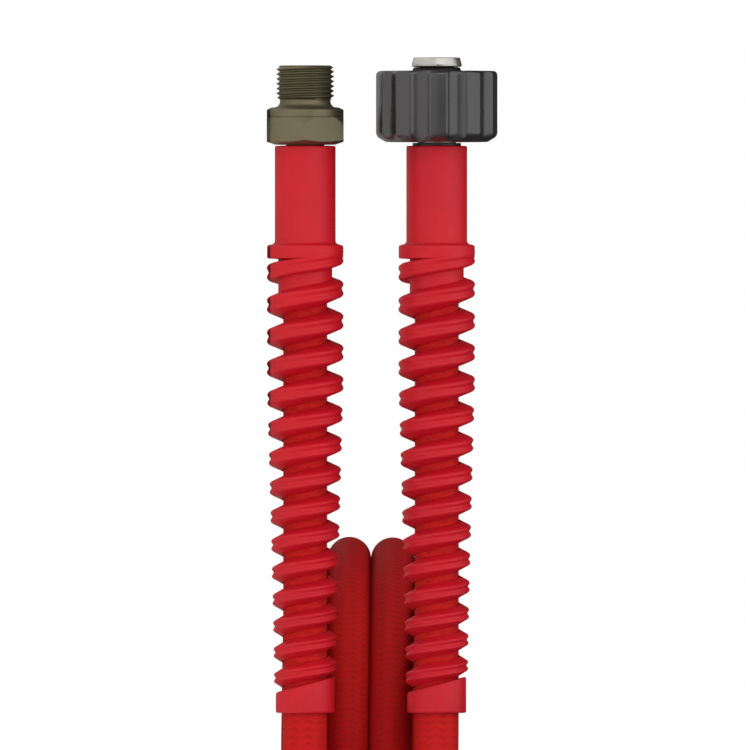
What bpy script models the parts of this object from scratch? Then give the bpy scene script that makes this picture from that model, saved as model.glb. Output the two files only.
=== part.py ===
"""Pressure washer hose: ten metres of braided hose, wound doubled into a flat coil and tied.

Both ends leave the coil side by side along -X, one above the other. The lower end has a
threaded male fitting, and the upper end a hand nut that turns on a spigot. Each end has a
moulded kink guard with a helical rib.
"""

from math import asin, atan2, ceil, cos, pi, radians, sin, sqrt, tan

import bmesh
import bpy
from mathutils import Vector

MM = 0.001

# Modelling: where points merge, how far cutters run past what they cut, and what looks sharp
WELD_DISTANCE = 0.001 * MM
TURN_MERGE_DISTANCE = 0.01 * MM
CUT_PAST = 1.0 * MM
SHARP_ANGLE = radians(35)

# Fit between pieces that touch
GAP = 0.3 * MM

# Hose
HOSE_DIAMETER = 13.7 * MM
LEAD_LENGTH = 269.6 * MM
LEAD_LEVEL_PART = 176.9 * MM
LEAD_OVERLAP = 30.0 * MM
HOSE_POINT_STEP = 30.0 * MM
HOSE_BEVEL_STEPS = 4
HOSE_END_RECESS = 2.0 * MM

# Coil
COIL_INNER_RADIUS = 112.0 * MM
COIL_COLUMN_STEP = 14.0 * MM
COIL_COLUMNS = 3
COIL_LAYERS = 4
COIL_STEPS = 40
SCALLOP_HALF_ANGLE = radians(55)
BIGHT_AZIMUTH = radians(-100)
BIGHT_LEVEL_SHARE = 0.12
BIGHT_OVERLAP = 34.0 * MM

# Ties around the coil
TIE_WIDTH = 16.0 * MM
TIE_THICKNESS = 1.5 * MM
TIE_AZIMUTHS = (radians(-45), radians(45), radians(118))
TIE_CORNER_STEPS = 4

# Bores for the water
WATER_BORE_RADIUS = 2.5 * MM

# Male fitting
HEX_ACROSS_FLATS = 24.0 * MM
HEX_BASE = 0.56 * MM
HEX_HEIGHT = 8.55 * MM
HEX_TOP_CHAMFER = 2.9 * MM
HEX_CHAMFER_START_RADIUS = 12.5 * MM
HEX_BASE_CHAMFER_HEIGHT = 0.88 * MM
HEX_BASE_CHAMFER_WIDTH = 2.6 * MM
COLLAR_HEIGHT = 3.1 * MM
COLLAR_GROOVE = 0.2 * MM
COLLAR_CHAMFER = 1.5 * MM
NECK_RADIUS = 7.92 * MM
NECK_HEIGHT = 2.9 * MM
FLARE_WIDTH = 1.15 * MM
THREAD_MAJOR_RADIUS = 9.0 * MM
THREAD_MINOR_RADIUS = 8.06 * MM
THREAD_PITCH = 1.5 * MM
THREAD_LENGTH = 10.2 * MM
THREAD_ROOT_SHARE = 0.92
THREAD_CREST_SHARE = 0.14
THREAD_STEPS = 16
THREAD_LEAD_CHAMFER = 0.7 * MM
SEAT_RADIUS = 5.0 * MM
SEAT_HALF_ANGLE = radians(30)
FITTING_STEPS = 24

# Ferrules, crimped on the hose under the kink guards
STEM_RADIUS = 6.0 * MM
FERRULE_RADIUS = 8.3 * MM
FERRULE_LENGTH = 28.3 * MM
FERRULE_STEPS = 20
MALE_FERRULE_RISE = 0.26 * MM
NUT_FERRULE_RISE = 1.1 * MM
NUT_FERRULE_NECK_RADIUS = 7.6 * MM

# Kink guards
GUARD_LENGTH = 177.0 * MM
GUARD_STEPS = 16
SLEEVE_RADIUS = 9.5 * MM
SLEEVE_LENGTH = 31.1 * MM
SLEEVE_EDGE = 0.6 * MM
SLEEVE_FILLET = 2.4 * MM
SLEEVE_FILLET_STEPS = 3
GUARD_COLLAR_RADIUS = 11.9 * MM
GUARD_COLLAR_HEIGHT = 3.9 * MM
CORE_RADIUS = 8.44 * MM
CORE_LENGTH = 11.0 * MM
RIB_DROP = 4.4 * MM
RIB_END_RISE = 2.0 * MM
RIB_PITCH_TOP = 10.2 * MM
RIB_PITCH_END = 7.9 * MM
RIB_LEAD_IN_TURNS = 0.75
RIB_RUN_IN_TURNS = 0.25
RIB_STEEP_TURNS = 0.6
RIB_LEAD_OUT_TURNS = 0.5
RIB_PLAIN_TURNS = 3.5
RIB_CROWN_RADIUS_TOP = 11.9 * MM
RIB_CROWN_RADIUS_END = 9.7 * MM
RIB_FOOT_TOP = 8.0 * MM
RIB_FOOT_END = 5.7 * MM
RIB_CROWN_TOP = 4.4 * MM
RIB_CROWN_END = 3.0 * MM
RIB_GROOVE = 0.3 * MM
RIB_SEAT = 0.15 * MM
RIB_TAPER_POWER = 1.3
RIB_START_WIDTH_SHARE = 0.3
END_RING_RADIUS = 9.2 * MM
END_RING_HEIGHT = 8.9 * MM
END_RING_SLANT = 5.3 * MM
END_RING_CHAMFER = 0.4 * MM

# Spigot and O-ring at the nut end
SPIGOT_RADIUS = 7.8 * MM
SPIGOT_TIP_RADIUS = 7.05 * MM
SPIGOT_TIP_HEIGHT = 2.9 * MM
SPIGOT_TIP_EDGE = 0.2 * MM
SPIGOT_STAND_OUT = 4.2 * MM
SPIGOT_FLANGE_RADIUS = 9.6 * MM
SPIGOT_FLANGE_HEIGHT = 2.2 * MM
SPIGOT_STEPS = 24
O_RING_RADIUS = 6.6 * MM
O_RING_SECTION_RADIUS = 1.0 * MM
O_RING_SECTION_STEPS = 10

# Hand nut with its threaded insert
NUT_RADIUS = 19.25 * MM
NUT_HEIGHT = 22.2 * MM
NUT_BASE = 1.4 * MM
NUT_EDGE_RADIUS = 1.4 * MM
NUT_EDGE_STEPS = 3
NUT_BASE_CHAMFER_WIDTH = 3.4 * MM
NUT_BASE_CHAMFER_HEIGHT = 1.8 * MM
NUT_LOBES = 10
NUT_LOBE_TURN = radians(1.6)
NUT_FLUTE_HALF_ANGLE = radians(9.8)
NUT_FLUTE_DEPTH = 1.7 * MM
NUT_FLUTE_STEPS = 16
NUT_STEPS = 40
NUT_LIP = 1.7 * MM
NUT_MOUTH_RADIUS = 10.9 * MM
NUT_MOUTH_CHAMFER = 0.6 * MM
NUT_FLOOR = 4.8 * MM
INSERT_RADIUS = 13.0 * MM
INSERT_BORE_RADIUS = 10.2 * MM
INSERT_FLOOR = 3.0 * MM
INSERT_CHAMFER = 0.8 * MM
INSERT_STEPS = 24
SPIN_CLEARANCE = 0.5 * MM

# Sizes that follow from the ones above
HOSE_RADIUS = HOSE_DIAMETER / 2
HOSE_SEAT_RADIUS = HOSE_RADIUS + GAP
COIL_OUTER_COLUMN = COIL_INNER_RADIUS + (COIL_COLUMNS - 1) * COIL_COLUMN_STEP
COIL_OUTER_RADIUS = COIL_OUTER_COLUMN + HOSE_RADIUS
COIL_HALF_HEIGHT = (COIL_LAYERS - 1) * HOSE_DIAMETER / 2
MALE_AXIS_HEIGHT = HEX_ACROSS_FLATS / 2
NUT_AXIS_HEIGHT = MALE_AXIS_HEIGHT + (COIL_LAYERS - 1) * HOSE_DIAMETER

# The rib fills the guard from below its collar to above its end ring, with whole turns
RIB_TOP = SLEEVE_LENGTH + GUARD_COLLAR_HEIGHT + RIB_DROP
RIB_RUN = GUARD_LENGTH - END_RING_HEIGHT - RIB_END_RISE - RIB_TOP
RIB_TURNS = round(2 * RIB_RUN / (RIB_PITCH_TOP + RIB_PITCH_END))
RIB_PITCH_FIT = 2 * RIB_RUN / (RIB_PITCH_TOP + RIB_PITCH_END) / RIB_TURNS

# The coil lies on its ties at its far side, and its near side is as high as the male end holds it
TIE_DROP = HOSE_RADIUS + GAP + TIE_THICKNESS
TIE_REACH = COIL_OUTER_RADIUS + GAP + TIE_THICKNESS
TIE_LOWEST_X = TIE_REACH * cos(TIE_AZIMUTHS[0]) + TIE_WIDTH / 2 * sin(abs(TIE_AZIMUTHS[0]))
COIL_LEAN = asin((MALE_AXIS_HEIGHT - TIE_DROP) / (TIE_LOWEST_X + COIL_OUTER_COLUMN))
COIL_CENTRE_HEIGHT = TIE_LOWEST_X * sin(COIL_LEAN) + (COIL_HALF_HEIGHT + TIE_DROP) * cos(COIL_LEAN)

# The origin is under the middle of the whole object
SPIGOT_TIP = NUT_BASE + NUT_HEIGHT + SPIGOT_STAND_OUT
LOW_X = -(LEAD_LENGTH + SPIGOT_TIP)
HIGH_X = COIL_OUTER_RADIUS
LOW_Y = -(COIL_OUTER_COLUMN + NUT_RADIUS)
HIGH_Y = COIL_OUTER_RADIUS
COIL_X = -(LOW_X + HIGH_X) / 2
COIL_Y = -(LOW_Y + HIGH_Y) / 2


def clear_scene():
    """Remove whatever the scene holds."""
    for item in list(bpy.data.objects):
        bpy.data.objects.remove(item, do_unlink=True)


def new_collection(name):
    collection = bpy.data.collections.new(name)
    bpy.context.scene.collection.children.link(collection)
    return collection


def new_material(name, colour, roughness, metallic=0.0):
    material = bpy.data.materials.new(name)
    material.use_nodes = True
    shader = material.node_tree.nodes["Principled BSDF"]
    shader.inputs["Base Color"].default_value = (*colour, 1.0)
    shader.inputs["Roughness"].default_value = roughness
    shader.inputs["Metallic"].default_value = metallic
    material.diffuse_color = (*colour, 1.0)
    return material


def add_object(name, data, collection, material=None, parent=None):
    """Link an object that holds the given mesh or curve."""
    item = bpy.data.objects.new(name, data)
    collection.objects.link(item)
    if material is not None and not data.materials:
        data.materials.append(material)
    item.parent = parent
    return item


def add_empty(name, collection, location, rotation):
    empty = add_object(name, None, collection)
    empty.location = location
    empty.rotation_euler = rotation
    return empty


def mesh_from(name, bm):
    """Store a bmesh as a mesh, shaded smooth but for its sharp edges."""
    mesh = bpy.data.meshes.new(name)
    bm.to_mesh(mesh)
    bm.free()
    mesh.shade_smooth()
    mesh.set_sharp_from_angle(angle=SHARP_ANGLE)
    return mesh


def profile_mesh(name, points):
    """A closed outline in the XZ plane, ready to be turned about Z."""
    bm = bmesh.new()
    verts = [bm.verts.new((radius, 0.0, height)) for radius, height in points]
    for index, vert in enumerate(verts):
        bm.edges.new((vert, verts[(index + 1) % len(verts)]))
    return mesh_from(name, bm)


def turn_about_z(item, steps):
    """Turn the object's outline into a closed solid."""
    screw = item.modifiers.new("turn", "SCREW")
    screw.axis = "Z"
    screw.steps = steps
    screw.render_steps = steps
    screw.use_merge_vertices = True
    screw.merge_threshold = TURN_MERGE_DISTANCE
    screw.use_smooth_shade = True


def turned(name, points, steps, collection, material=None, parent=None):
    """A ring or a bored piece, turned from a closed outline that runs down its outer side."""
    item = add_object(name, profile_mesh(name, points), collection, material, parent)
    turn_about_z(item, steps)
    return item


def combine(item, tool, operation):
    """Join a tool to the object, or cut the object with it."""
    boolean = item.modifiers.new(operation.lower(), "BOOLEAN")
    boolean.object = tool
    boolean.operation = operation
    boolean.solver = "EXACT"
    tool.hide_render = True
    tool.display_type = "WIRE"


def loft(bm, rings, closed):
    """Skin a row of like-sized rings of points, and cap the two ends of an open row."""
    loops = [[bm.verts.new(point) for point in ring] for ring in rings]
    count = len(loops[0])
    last = len(loops) if closed else len(loops) - 1
    for index in range(last):
        here = loops[index]
        there = loops[(index + 1) % len(loops)]
        for side in range(count):
            after = (side + 1) % count
            bm.faces.new((here[side], here[after], there[after], there[side]))
    if not closed:
        bm.faces.new(loops[0])
        bm.faces.new(loops[-1])
    bmesh.ops.recalc_face_normals(bm, faces=bm.faces)


def finished_mesh(item):
    """The evaluated mesh of an object, with its modifiers applied."""
    depsgraph = bpy.context.evaluated_depsgraph_get()
    return bpy.data.meshes.new_from_object(item.evaluated_get(depsgraph))


def weld_caps(mesh):
    """Weld a tube's loose caps to its wall."""
    bm = bmesh.new()
    bm.from_mesh(mesh)
    bmesh.ops.remove_doubles(bm, verts=bm.verts, dist=WELD_DISTANCE)
    bm.to_mesh(mesh)
    bm.free()


def curve_to_mesh(item):
    """Replace a curve object by a mesh object of the same name and place."""
    name = item.name
    collection = item.users_collection[0]
    mesh = finished_mesh(item)
    weld_caps(mesh)
    place = item.matrix_world.copy()
    bpy.data.objects.remove(item, do_unlink=True)
    solid = add_object(name, mesh, collection)
    solid.matrix_world = place
    return solid


def hose_tube(name, points, collection, material):
    """A stretch of hose along the given points."""
    curve = bpy.data.curves.new(name, "CURVE")
    curve.dimensions = "3D"
    curve.bevel_depth = HOSE_RADIUS
    curve.bevel_resolution = HOSE_BEVEL_STEPS
    curve.use_fill_caps = True
    spline = curve.splines.new("POLY")
    spline.points.add(len(points) - 1)
    for point, place in zip(spline.points, points):
        point.co = (*place, 1.0)
    return add_object(name, curve, collection, material)


def arc(centre_r, centre_z, radius, start, end, steps):
    """Points of an outline along an arc, by angle from +r towards +z."""
    points = []
    for step in range(steps + 1):
        angle = start + (end - start) * step / steps
        points.append((centre_r + radius * cos(angle), centre_z + radius * sin(angle)))
    return points


def smooth_step(share):
    """Ease from 0 to 1 as the share goes from 0 to 1."""
    share = min(max(share, 0.0), 1.0)
    return share * share * (3 - 2 * share)


# Coil


def coil_outline(grow):
    """The coil's section: a stack of hoses whose turns show as scallops on every side."""
    radius = HOSE_RADIUS + grow
    columns = [COIL_INNER_RADIUS + index * COIL_COLUMN_STEP for index in range(COIL_COLUMNS)]
    layers = [COIL_HALF_HEIGHT - index * HOSE_DIAMETER for index in range(COIL_LAYERS)]
    outer_side = [(columns[-1], height) for height in layers]
    bottom_side = [(column, layers[-1]) for column in reversed(columns)]
    inner_side = [(columns[0], height) for height in reversed(layers)]
    top_side = [(column, layers[0]) for column in columns]
    points = []
    for quarter, side in enumerate((outer_side, bottom_side, inner_side, top_side)):
        normal = -quarter * pi / 2
        for index, (centre_r, centre_z) in enumerate(side):
            angles = [normal + SCALLOP_HALF_ANGLE, normal, normal - SCALLOP_HALF_ANGLE]
            if index == 0:
                angles = angles[1:]
            if index == len(side) - 1:
                angles[-1] = normal - pi / 4
            for angle in angles:
                points.append((centre_r + radius * cos(angle), centre_z + radius * sin(angle)))
    return points


def from_coil(x, y, z):
    """A point given from the leaning coil's centre, in the object's frame."""
    return Vector((
        COIL_X + x * cos(COIL_LEAN) + z * sin(COIL_LEAN),
        COIL_Y + y,
        COIL_CENTRE_HEIGHT - x * sin(COIL_LEAN) + z * cos(COIL_LEAN),
    ))


def make_coil(parts, hose, lean):
    return turned("hose_coil", coil_outline(0.0), COIL_STEPS, parts, hose, lean)


def make_coil_cutter(cutters, lean):
    """The coil with the fit around it, which trims the hose where it runs into the coil."""
    return turned("coil_space", coil_outline(GAP), COIL_STEPS, cutters, None, lean)


def tie_outline(offset, radial_slack):
    """A loop around the coil's section, at an offset from the hoses it holds."""
    corner = HOSE_RADIUS + offset
    inner = COIL_INNER_RADIUS - radial_slack
    corners = (
        (COIL_OUTER_COLUMN, COIL_HALF_HEIGHT),
        (inner, COIL_HALF_HEIGHT),
        (inner, -COIL_HALF_HEIGHT),
        (COIL_OUTER_COLUMN, -COIL_HALF_HEIGHT),
    )
    points = []
    for index, (centre_r, centre_z) in enumerate(corners):
        start = index * pi / 2
        points += arc(centre_r, centre_z, corner, start, start + pi / 2, TIE_CORNER_STEPS)
    return points


def make_tie(name, azimuth, parts, webbing, lean):
    """A strap around the coil, laid as a flat loop on edge."""
    radial_slack = (TIE_WIDTH / 2) ** 2 / (2 * (COIL_INNER_RADIUS - HOSE_RADIUS))
    curve = bpy.data.curves.new(name, "CURVE")
    curve.dimensions = "2D"
    curve.fill_mode = "BOTH"
    curve.extrude = TIE_WIDTH / 2
    for offset in (GAP + TIE_THICKNESS, GAP):
        outline = tie_outline(offset, radial_slack)
        spline = curve.splines.new("POLY")
        spline.points.add(len(outline) - 1)
        spline.use_cyclic_u = True
        for point, (along, up) in zip(spline.points, outline):
            point.co = (along, up, 0.0, 1.0)
    tie = add_object(name, curve, parts, webbing, lean)
    tie.rotation_euler = (pi / 2, 0.0, azimuth)
    return tie


# Hose stretches outside the coil


def lead_height(distance, level, drop):
    """Height of a lead's axis at a distance before the coil, from level to the coil's lean."""
    run = LEAD_LENGTH - LEAD_LEVEL_PART
    share = min(max(1 - distance / run, 0.0), 1.0)
    slope = tan(COIL_LEAN) * run
    ease = share * share * (3 - 2 * share)
    bend = share * share * (1 - share)
    return level - drop * ease + slope * bend


def lead_points(level, layer_height):
    """A lead's axis, from inside its ferrule to where it joins the coil's outer column."""
    joined = from_coil(0.0, -COIL_OUTER_COLUMN, layer_height)
    start = LEAD_LENGTH - HOSE_END_RECESS - GAP
    end = LEAD_OVERLAP
    count = ceil((start - end) / HOSE_POINT_STEP)
    points = []
    for index in range(count + 1):
        distance = start + (end - start) * index / count
        height = lead_height(distance, level, level - joined.z)
        points.append((COIL_X - distance, joined.y, height))
    return points


def bight_height(share, top):
    """Height of the bight from a coil layer down to the ground, where it lies."""
    ground = HOSE_RADIUS + GAP
    fallen = max(share - BIGHT_LEVEL_SHARE, 0.0) / (1 - BIGHT_LEVEL_SHARE)
    return top + (ground - top) * (1 - cos(pi * fallen)) / 2


def bight_points():
    """The middle of the hose: an S across the bore that turns one half of the coil into the other."""
    half = COIL_INNER_RADIUS / 2
    skipped = BIGHT_OVERLAP / (pi * half)
    count = ceil(pi * half / HOSE_POINT_STEP)
    points = []
    for sign, layer_height in ((1, -HOSE_RADIUS), (-1, HOSE_RADIUS)):
        branch = []
        top = from_coil(0.0, 0.0, layer_height).z
        for index in range(count + 1):
            share = skipped + (1 - skipped) * index / count
            turn = BIGHT_AZIMUTH + pi * share
            x = sign * half * (cos(BIGHT_AZIMUTH) + cos(turn))
            y = sign * half * (sin(BIGHT_AZIMUTH) + sin(turn))
            lean = -x * sin(COIL_LEAN) * (1 - share)
            branch.append((COIL_X + x, COIL_Y + y, bight_height(share, top) + lean))
        points += branch if sign == 1 else branch[-2::-1]
    return points


def make_hose_stretches(parts, hose, coil_space):
    """The two leads and the bight, each trimmed to the coil it runs into."""
    routes = {
        "hose_lead_male": lead_points(MALE_AXIS_HEIGHT, -COIL_HALF_HEIGHT),
        "hose_lead_nut": lead_points(NUT_AXIS_HEIGHT, COIL_HALF_HEIGHT),
        "hose_bight": bight_points(),
    }
    for name, points in routes.items():
        stretch = curve_to_mesh(hose_tube(name, points, parts, hose))
        combine(stretch, coil_space, "DIFFERENCE")


# Kink guards


def sleeve_outline():
    """The guard's plain sleeve, its collar and the start of the tube under the rib."""
    pocket = FERRULE_RADIUS + GAP
    pocket_depth = FERRULE_LENGTH + 2 * GAP
    collar_base = SLEEVE_LENGTH + GUARD_COLLAR_HEIGHT
    core_end = collar_base + CORE_LENGTH
    fillet = arc(
        SLEEVE_RADIUS + SLEEVE_FILLET, SLEEVE_FILLET - SLEEVE_LENGTH, SLEEVE_FILLET,
        pi, 1.5 * pi, SLEEVE_FILLET_STEPS,
    )
    points = [(SLEEVE_RADIUS - SLEEVE_EDGE, 0.0), (SLEEVE_RADIUS, -SLEEVE_EDGE)]
    points += fillet[:-1]
    points += [
        (GUARD_COLLAR_RADIUS, -SLEEVE_LENGTH),
        (GUARD_COLLAR_RADIUS, -collar_base),
        (CORE_RADIUS, -collar_base - GAP),
        (CORE_RADIUS, -core_end),
        (HOSE_SEAT_RADIUS, -core_end),
        (HOSE_SEAT_RADIUS, -pocket_depth),
        (pocket, -pocket_depth),
        (pocket, 0.0),
    ]
    return points


def rib_section(turn):
    """The rib's section at a turn counted down from its first full turn."""
    share = min(max(turn / RIB_TURNS, 0.0), 1.0)
    thin_share = min(max((turn - RIB_PLAIN_TURNS) / (RIB_TURNS - RIB_PLAIN_TURNS), 0.0), 1.0)
    taper = (1 - thin_share) ** RIB_TAPER_POWER
    crown_radius = RIB_CROWN_RADIUS_END + (RIB_CROWN_RADIUS_TOP - RIB_CROWN_RADIUS_END) * taper
    run_out = smooth_step((turn - RIB_TURNS) / RIB_LEAD_OUT_TURNS)
    crown_radius -= run_out * (RIB_CROWN_RADIUS_END - END_RING_RADIUS + RIB_GROOVE)
    run_in = smooth_step((turn + RIB_LEAD_IN_TURNS) / RIB_RUN_IN_TURNS)
    width_share = RIB_START_WIDTH_SHARE + (1 - RIB_START_WIDTH_SHARE) * run_in
    crown = width_share * (RIB_CROWN_TOP + (RIB_CROWN_END - RIB_CROWN_TOP) * share) / 2
    full_foot = width_share * (RIB_FOOT_TOP + (RIB_FOOT_END - RIB_FOOT_TOP) * share) / 2
    foot = crown + (full_foot - crown) * smooth_step(abs(turn) / RIB_STEEP_TURNS)
    seat = HOSE_SEAT_RADIUS + RIB_SEAT
    return (
        (seat, foot),
        (crown_radius, crown),
        (crown_radius - RIB_GROOVE, 0.0),
        (crown_radius, -crown),
        (seat, -foot),
    )


def rib_depth(turn):
    """Depth of the rib's middle below the sleeve's top, with a pitch that shortens evenly."""
    shortening = (RIB_PITCH_TOP - RIB_PITCH_END) / (2 * RIB_TURNS)
    return RIB_TOP + RIB_PITCH_FIT * (RIB_PITCH_TOP * turn - shortening * turn * turn)


def make_rib(cutters):
    """The helical rib, lofted because its pitch, height and width all taper."""
    stations = round((RIB_LEAD_IN_TURNS + RIB_TURNS + RIB_LEAD_OUT_TURNS) * GUARD_STEPS)
    rings = []
    for station in range(stations + 1):
        turn = station / GUARD_STEPS - RIB_LEAD_IN_TURNS
        angle = pi / GUARD_STEPS + pi - 2 * pi * turn
        depth = rib_depth(turn)
        ring = []
        for radius, offset in rib_section(turn):
            ring.append((radius * cos(angle), radius * sin(angle), offset - depth))
        rings.append(ring)
    bm = bmesh.new()
    loft(bm, rings, closed=False)
    return add_object("rib_form", mesh_from("rib_form", bm), cutters)


def make_end_ring(cutters):
    """The ring that closes the rib, with a slanted upper edge that follows it."""
    rings = []
    for step in range(GUARD_STEPS):
        angle = 2 * pi * step / GUARD_STEPS
        top = END_RING_HEIGHT - GUARD_LENGTH + END_RING_SLANT / 2 * cos(angle)
        outline = (
            (HOSE_SEAT_RADIUS, top),
            (END_RING_RADIUS, top),
            (END_RING_RADIUS, END_RING_CHAMFER - GUARD_LENGTH),
            (END_RING_RADIUS - END_RING_CHAMFER, -GUARD_LENGTH),
            (HOSE_SEAT_RADIUS, -GUARD_LENGTH),
        )
        rings.append([(radius * cos(angle), radius * sin(angle), z) for radius, z in outline])
    bm = bmesh.new()
    loft(bm, rings, closed=True)
    return add_object("end_ring_form", mesh_from("end_ring_form", bm), cutters)


def make_kink_guards(parts, cutters, moulding, male_end, nut_end):
    """Two like guards, moulded in one piece each, that share one mesh."""
    form = turned("guard_form", sleeve_outline(), GUARD_STEPS, cutters)
    rib = make_rib(cutters)
    ring = make_end_ring(cutters)
    combine(form, rib, "UNION")
    combine(form, ring, "UNION")
    mesh = finished_mesh(form)
    mesh.name = "kink_guard"
    mesh.set_sharp_from_angle(angle=SHARP_ANGLE)
    for tool in (form, rib, ring):
        bpy.data.objects.remove(tool, do_unlink=True)
    add_object("kink_guard_male", mesh, parts, moulding, male_end)
    add_object("kink_guard_nut", mesh, parts, moulding, nut_end)


# Ferrules


def ferrule_outline(rise, neck_radius):
    """A crimped ferrule, with an end wall around the fitting's stem."""
    bore = STEM_RADIUS + GAP
    return (
        (neck_radius, rise),
        (neck_radius, -GAP),
        (FERRULE_RADIUS, -2 * GAP),
        (FERRULE_RADIUS, -FERRULE_LENGTH),
        (HOSE_SEAT_RADIUS, -FERRULE_LENGTH),
        (HOSE_SEAT_RADIUS, -HOSE_END_RECESS),
        (bore, -HOSE_END_RECESS),
        (bore, rise),
    )


def make_ferrules(parts, steel, male_end, nut_end):
    male_neck = FERRULE_RADIUS - GAP
    outline = ferrule_outline(MALE_FERRULE_RISE, male_neck)
    turned("ferrule_male", outline, FERRULE_STEPS, parts, steel, male_end)
    outline = ferrule_outline(NUT_FERRULE_RISE, NUT_FERRULE_NECK_RADIUS)
    turned("ferrule_nut", outline, FERRULE_STEPS, parts, steel, nut_end)


# Male fitting


def fitting_outline():
    """The fitting without its hexagon: stem, collar, neck and thread core, as a solid."""
    collar_base = HEX_BASE + HEX_HEIGHT
    collar_top = collar_base + COLLAR_HEIGHT
    neck_top = collar_top + NECK_HEIGHT
    tip = neck_top + THREAD_LENGTH
    collar = HEX_ACROSS_FLATS / 2
    inside = HEX_BASE + HEX_HEIGHT / 2
    half_chamfer = COLLAR_CHAMFER / 2
    return [
        (THREAD_MINOR_RADIUS - THREAD_LEAD_CHAMFER / 2, tip),
        (THREAD_MINOR_RADIUS, tip - THREAD_LEAD_CHAMFER),
        (THREAD_MINOR_RADIUS, neck_top),
        (NECK_RADIUS, neck_top - GAP),
        (NECK_RADIUS, collar_top + FLARE_WIDTH),
        (NECK_RADIUS + FLARE_WIDTH / 3, collar_top + FLARE_WIDTH / 3),
        (NECK_RADIUS + FLARE_WIDTH, collar_top + GAP / 3),
        (collar - COLLAR_CHAMFER, collar_top),
        (collar, collar_top - half_chamfer),
        (collar, collar_base + COLLAR_GROOVE),
        (collar - COLLAR_GROOVE, collar_base),
        (collar - COLLAR_GROOVE, inside),
        (STEM_RADIUS, inside),
        (STEM_RADIUS, -HOSE_END_RECESS),
        (0.0, -HOSE_END_RECESS),
        (0.0, tip),
    ]


def hex_chamfer_outline():
    """The turned form that takes the corners off the hexagon."""
    apothem = HEX_ACROSS_FLATS / 2
    corner = HEX_ACROSS_FLATS / sqrt(3) + GAP
    top = HEX_BASE + HEX_HEIGHT
    base_shoulder = HEX_BASE + HEX_BASE_CHAMFER_HEIGHT
    base_slope = HEX_BASE_CHAMFER_HEIGHT / HEX_BASE_CHAMFER_WIDTH
    return [
        (HEX_CHAMFER_START_RADIUS, top),
        (corner, top - HEX_TOP_CHAMFER),
        (corner, base_shoulder + (corner - apothem) * base_slope),
        (apothem - HEX_BASE_CHAMFER_WIDTH, HEX_BASE),
        (0.0, HEX_BASE),
        (0.0, top),
    ]


def make_hexagon():
    """A six-sided prism with a corner to the front and a flat to the ground, chamfered."""
    bm = bmesh.new()
    corner = HEX_ACROSS_FLATS / sqrt(3)
    bmesh.ops.create_cone(bm, cap_ends=True, segments=6, radius1=corner, radius2=corner,
                          depth=HEX_HEIGHT)
    first = max(bm.verts, key=lambda vert: vert.co.y + vert.co.z)
    turn = pi / 2 - atan2(first.co.y, first.co.x)
    for vert in bm.verts:
        x, y, z = vert.co
        vert.co.x = x * cos(turn) - y * sin(turn)
        vert.co.y = x * sin(turn) + y * cos(turn)
        vert.co.z = z + HEX_BASE + HEX_HEIGHT / 2
    return mesh_from("male_fitting", bm)


def make_thread(cutters):
    """The helical ridge of the thread, which runs out at both ends."""
    neck_top = HEX_BASE + HEX_HEIGHT + COLLAR_HEIGHT + NECK_HEIGHT
    start = neck_top + THREAD_PITCH / 2
    turns = (THREAD_LENGTH - THREAD_PITCH - THREAD_LEAD_CHAMFER) / THREAD_PITCH
    stations = round(turns * THREAD_STEPS)
    root = THREAD_MINOR_RADIUS - GAP
    root_half = THREAD_ROOT_SHARE * THREAD_PITCH / 2
    crest_half = THREAD_CREST_SHARE * THREAD_PITCH / 2
    rings = []
    for station in range(stations + 1):
        turn = station / THREAD_STEPS
        angle = 2 * pi * turn
        run_out = smooth_step(2 * min(turn, turns - turn))
        crest = THREAD_MINOR_RADIUS - GAP / 2
        crest += (THREAD_MAJOR_RADIUS - crest) * run_out
        height = start + THREAD_PITCH * turn
        section = ((root, root_half), (crest, crest_half), (crest, -crest_half), (root, -root_half))
        rings.append([(r * cos(angle), r * sin(angle), height + z) for r, z in section])
    bm = bmesh.new()
    loft(bm, rings, closed=False)
    return add_object("thread_form", mesh_from("thread_form", bm), cutters)


def fitting_bore_outline():
    """The water bore, with a conical seat at the mouth."""
    tip = HEX_BASE + HEX_HEIGHT + COLLAR_HEIGHT + NECK_HEIGHT + THREAD_LENGTH
    seat_depth = (SEAT_RADIUS - WATER_BORE_RADIUS) / tan(SEAT_HALF_ANGLE)
    return [
        (SEAT_RADIUS + CUT_PAST * tan(SEAT_HALF_ANGLE), tip + CUT_PAST),
        (WATER_BORE_RADIUS, tip - seat_depth),
        (WATER_BORE_RADIUS, -HOSE_END_RECESS - CUT_PAST),
        (0.0, -HOSE_END_RECESS - CUT_PAST),
        (0.0, tip + CUT_PAST),
    ]


def make_male_fitting(parts, cutters, plated, male_end):
    fitting = add_object("male_fitting", make_hexagon(), parts, plated, male_end)
    chamfer = turned("hex_chamfer", hex_chamfer_outline(), FITTING_STEPS, cutters, None, male_end)
    body = turned("fitting_form", fitting_outline(), FITTING_STEPS, cutters, None, male_end)
    thread = make_thread(cutters)
    thread.parent = male_end
    bore = turned("fitting_bore", fitting_bore_outline(), FITTING_STEPS, cutters, None, male_end)
    combine(fitting, chamfer, "INTERSECT")
    combine(fitting, body, "UNION")
    combine(fitting, thread, "UNION")
    combine(fitting, bore, "DIFFERENCE")


# Spigot, O-ring and hand nut


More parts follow.
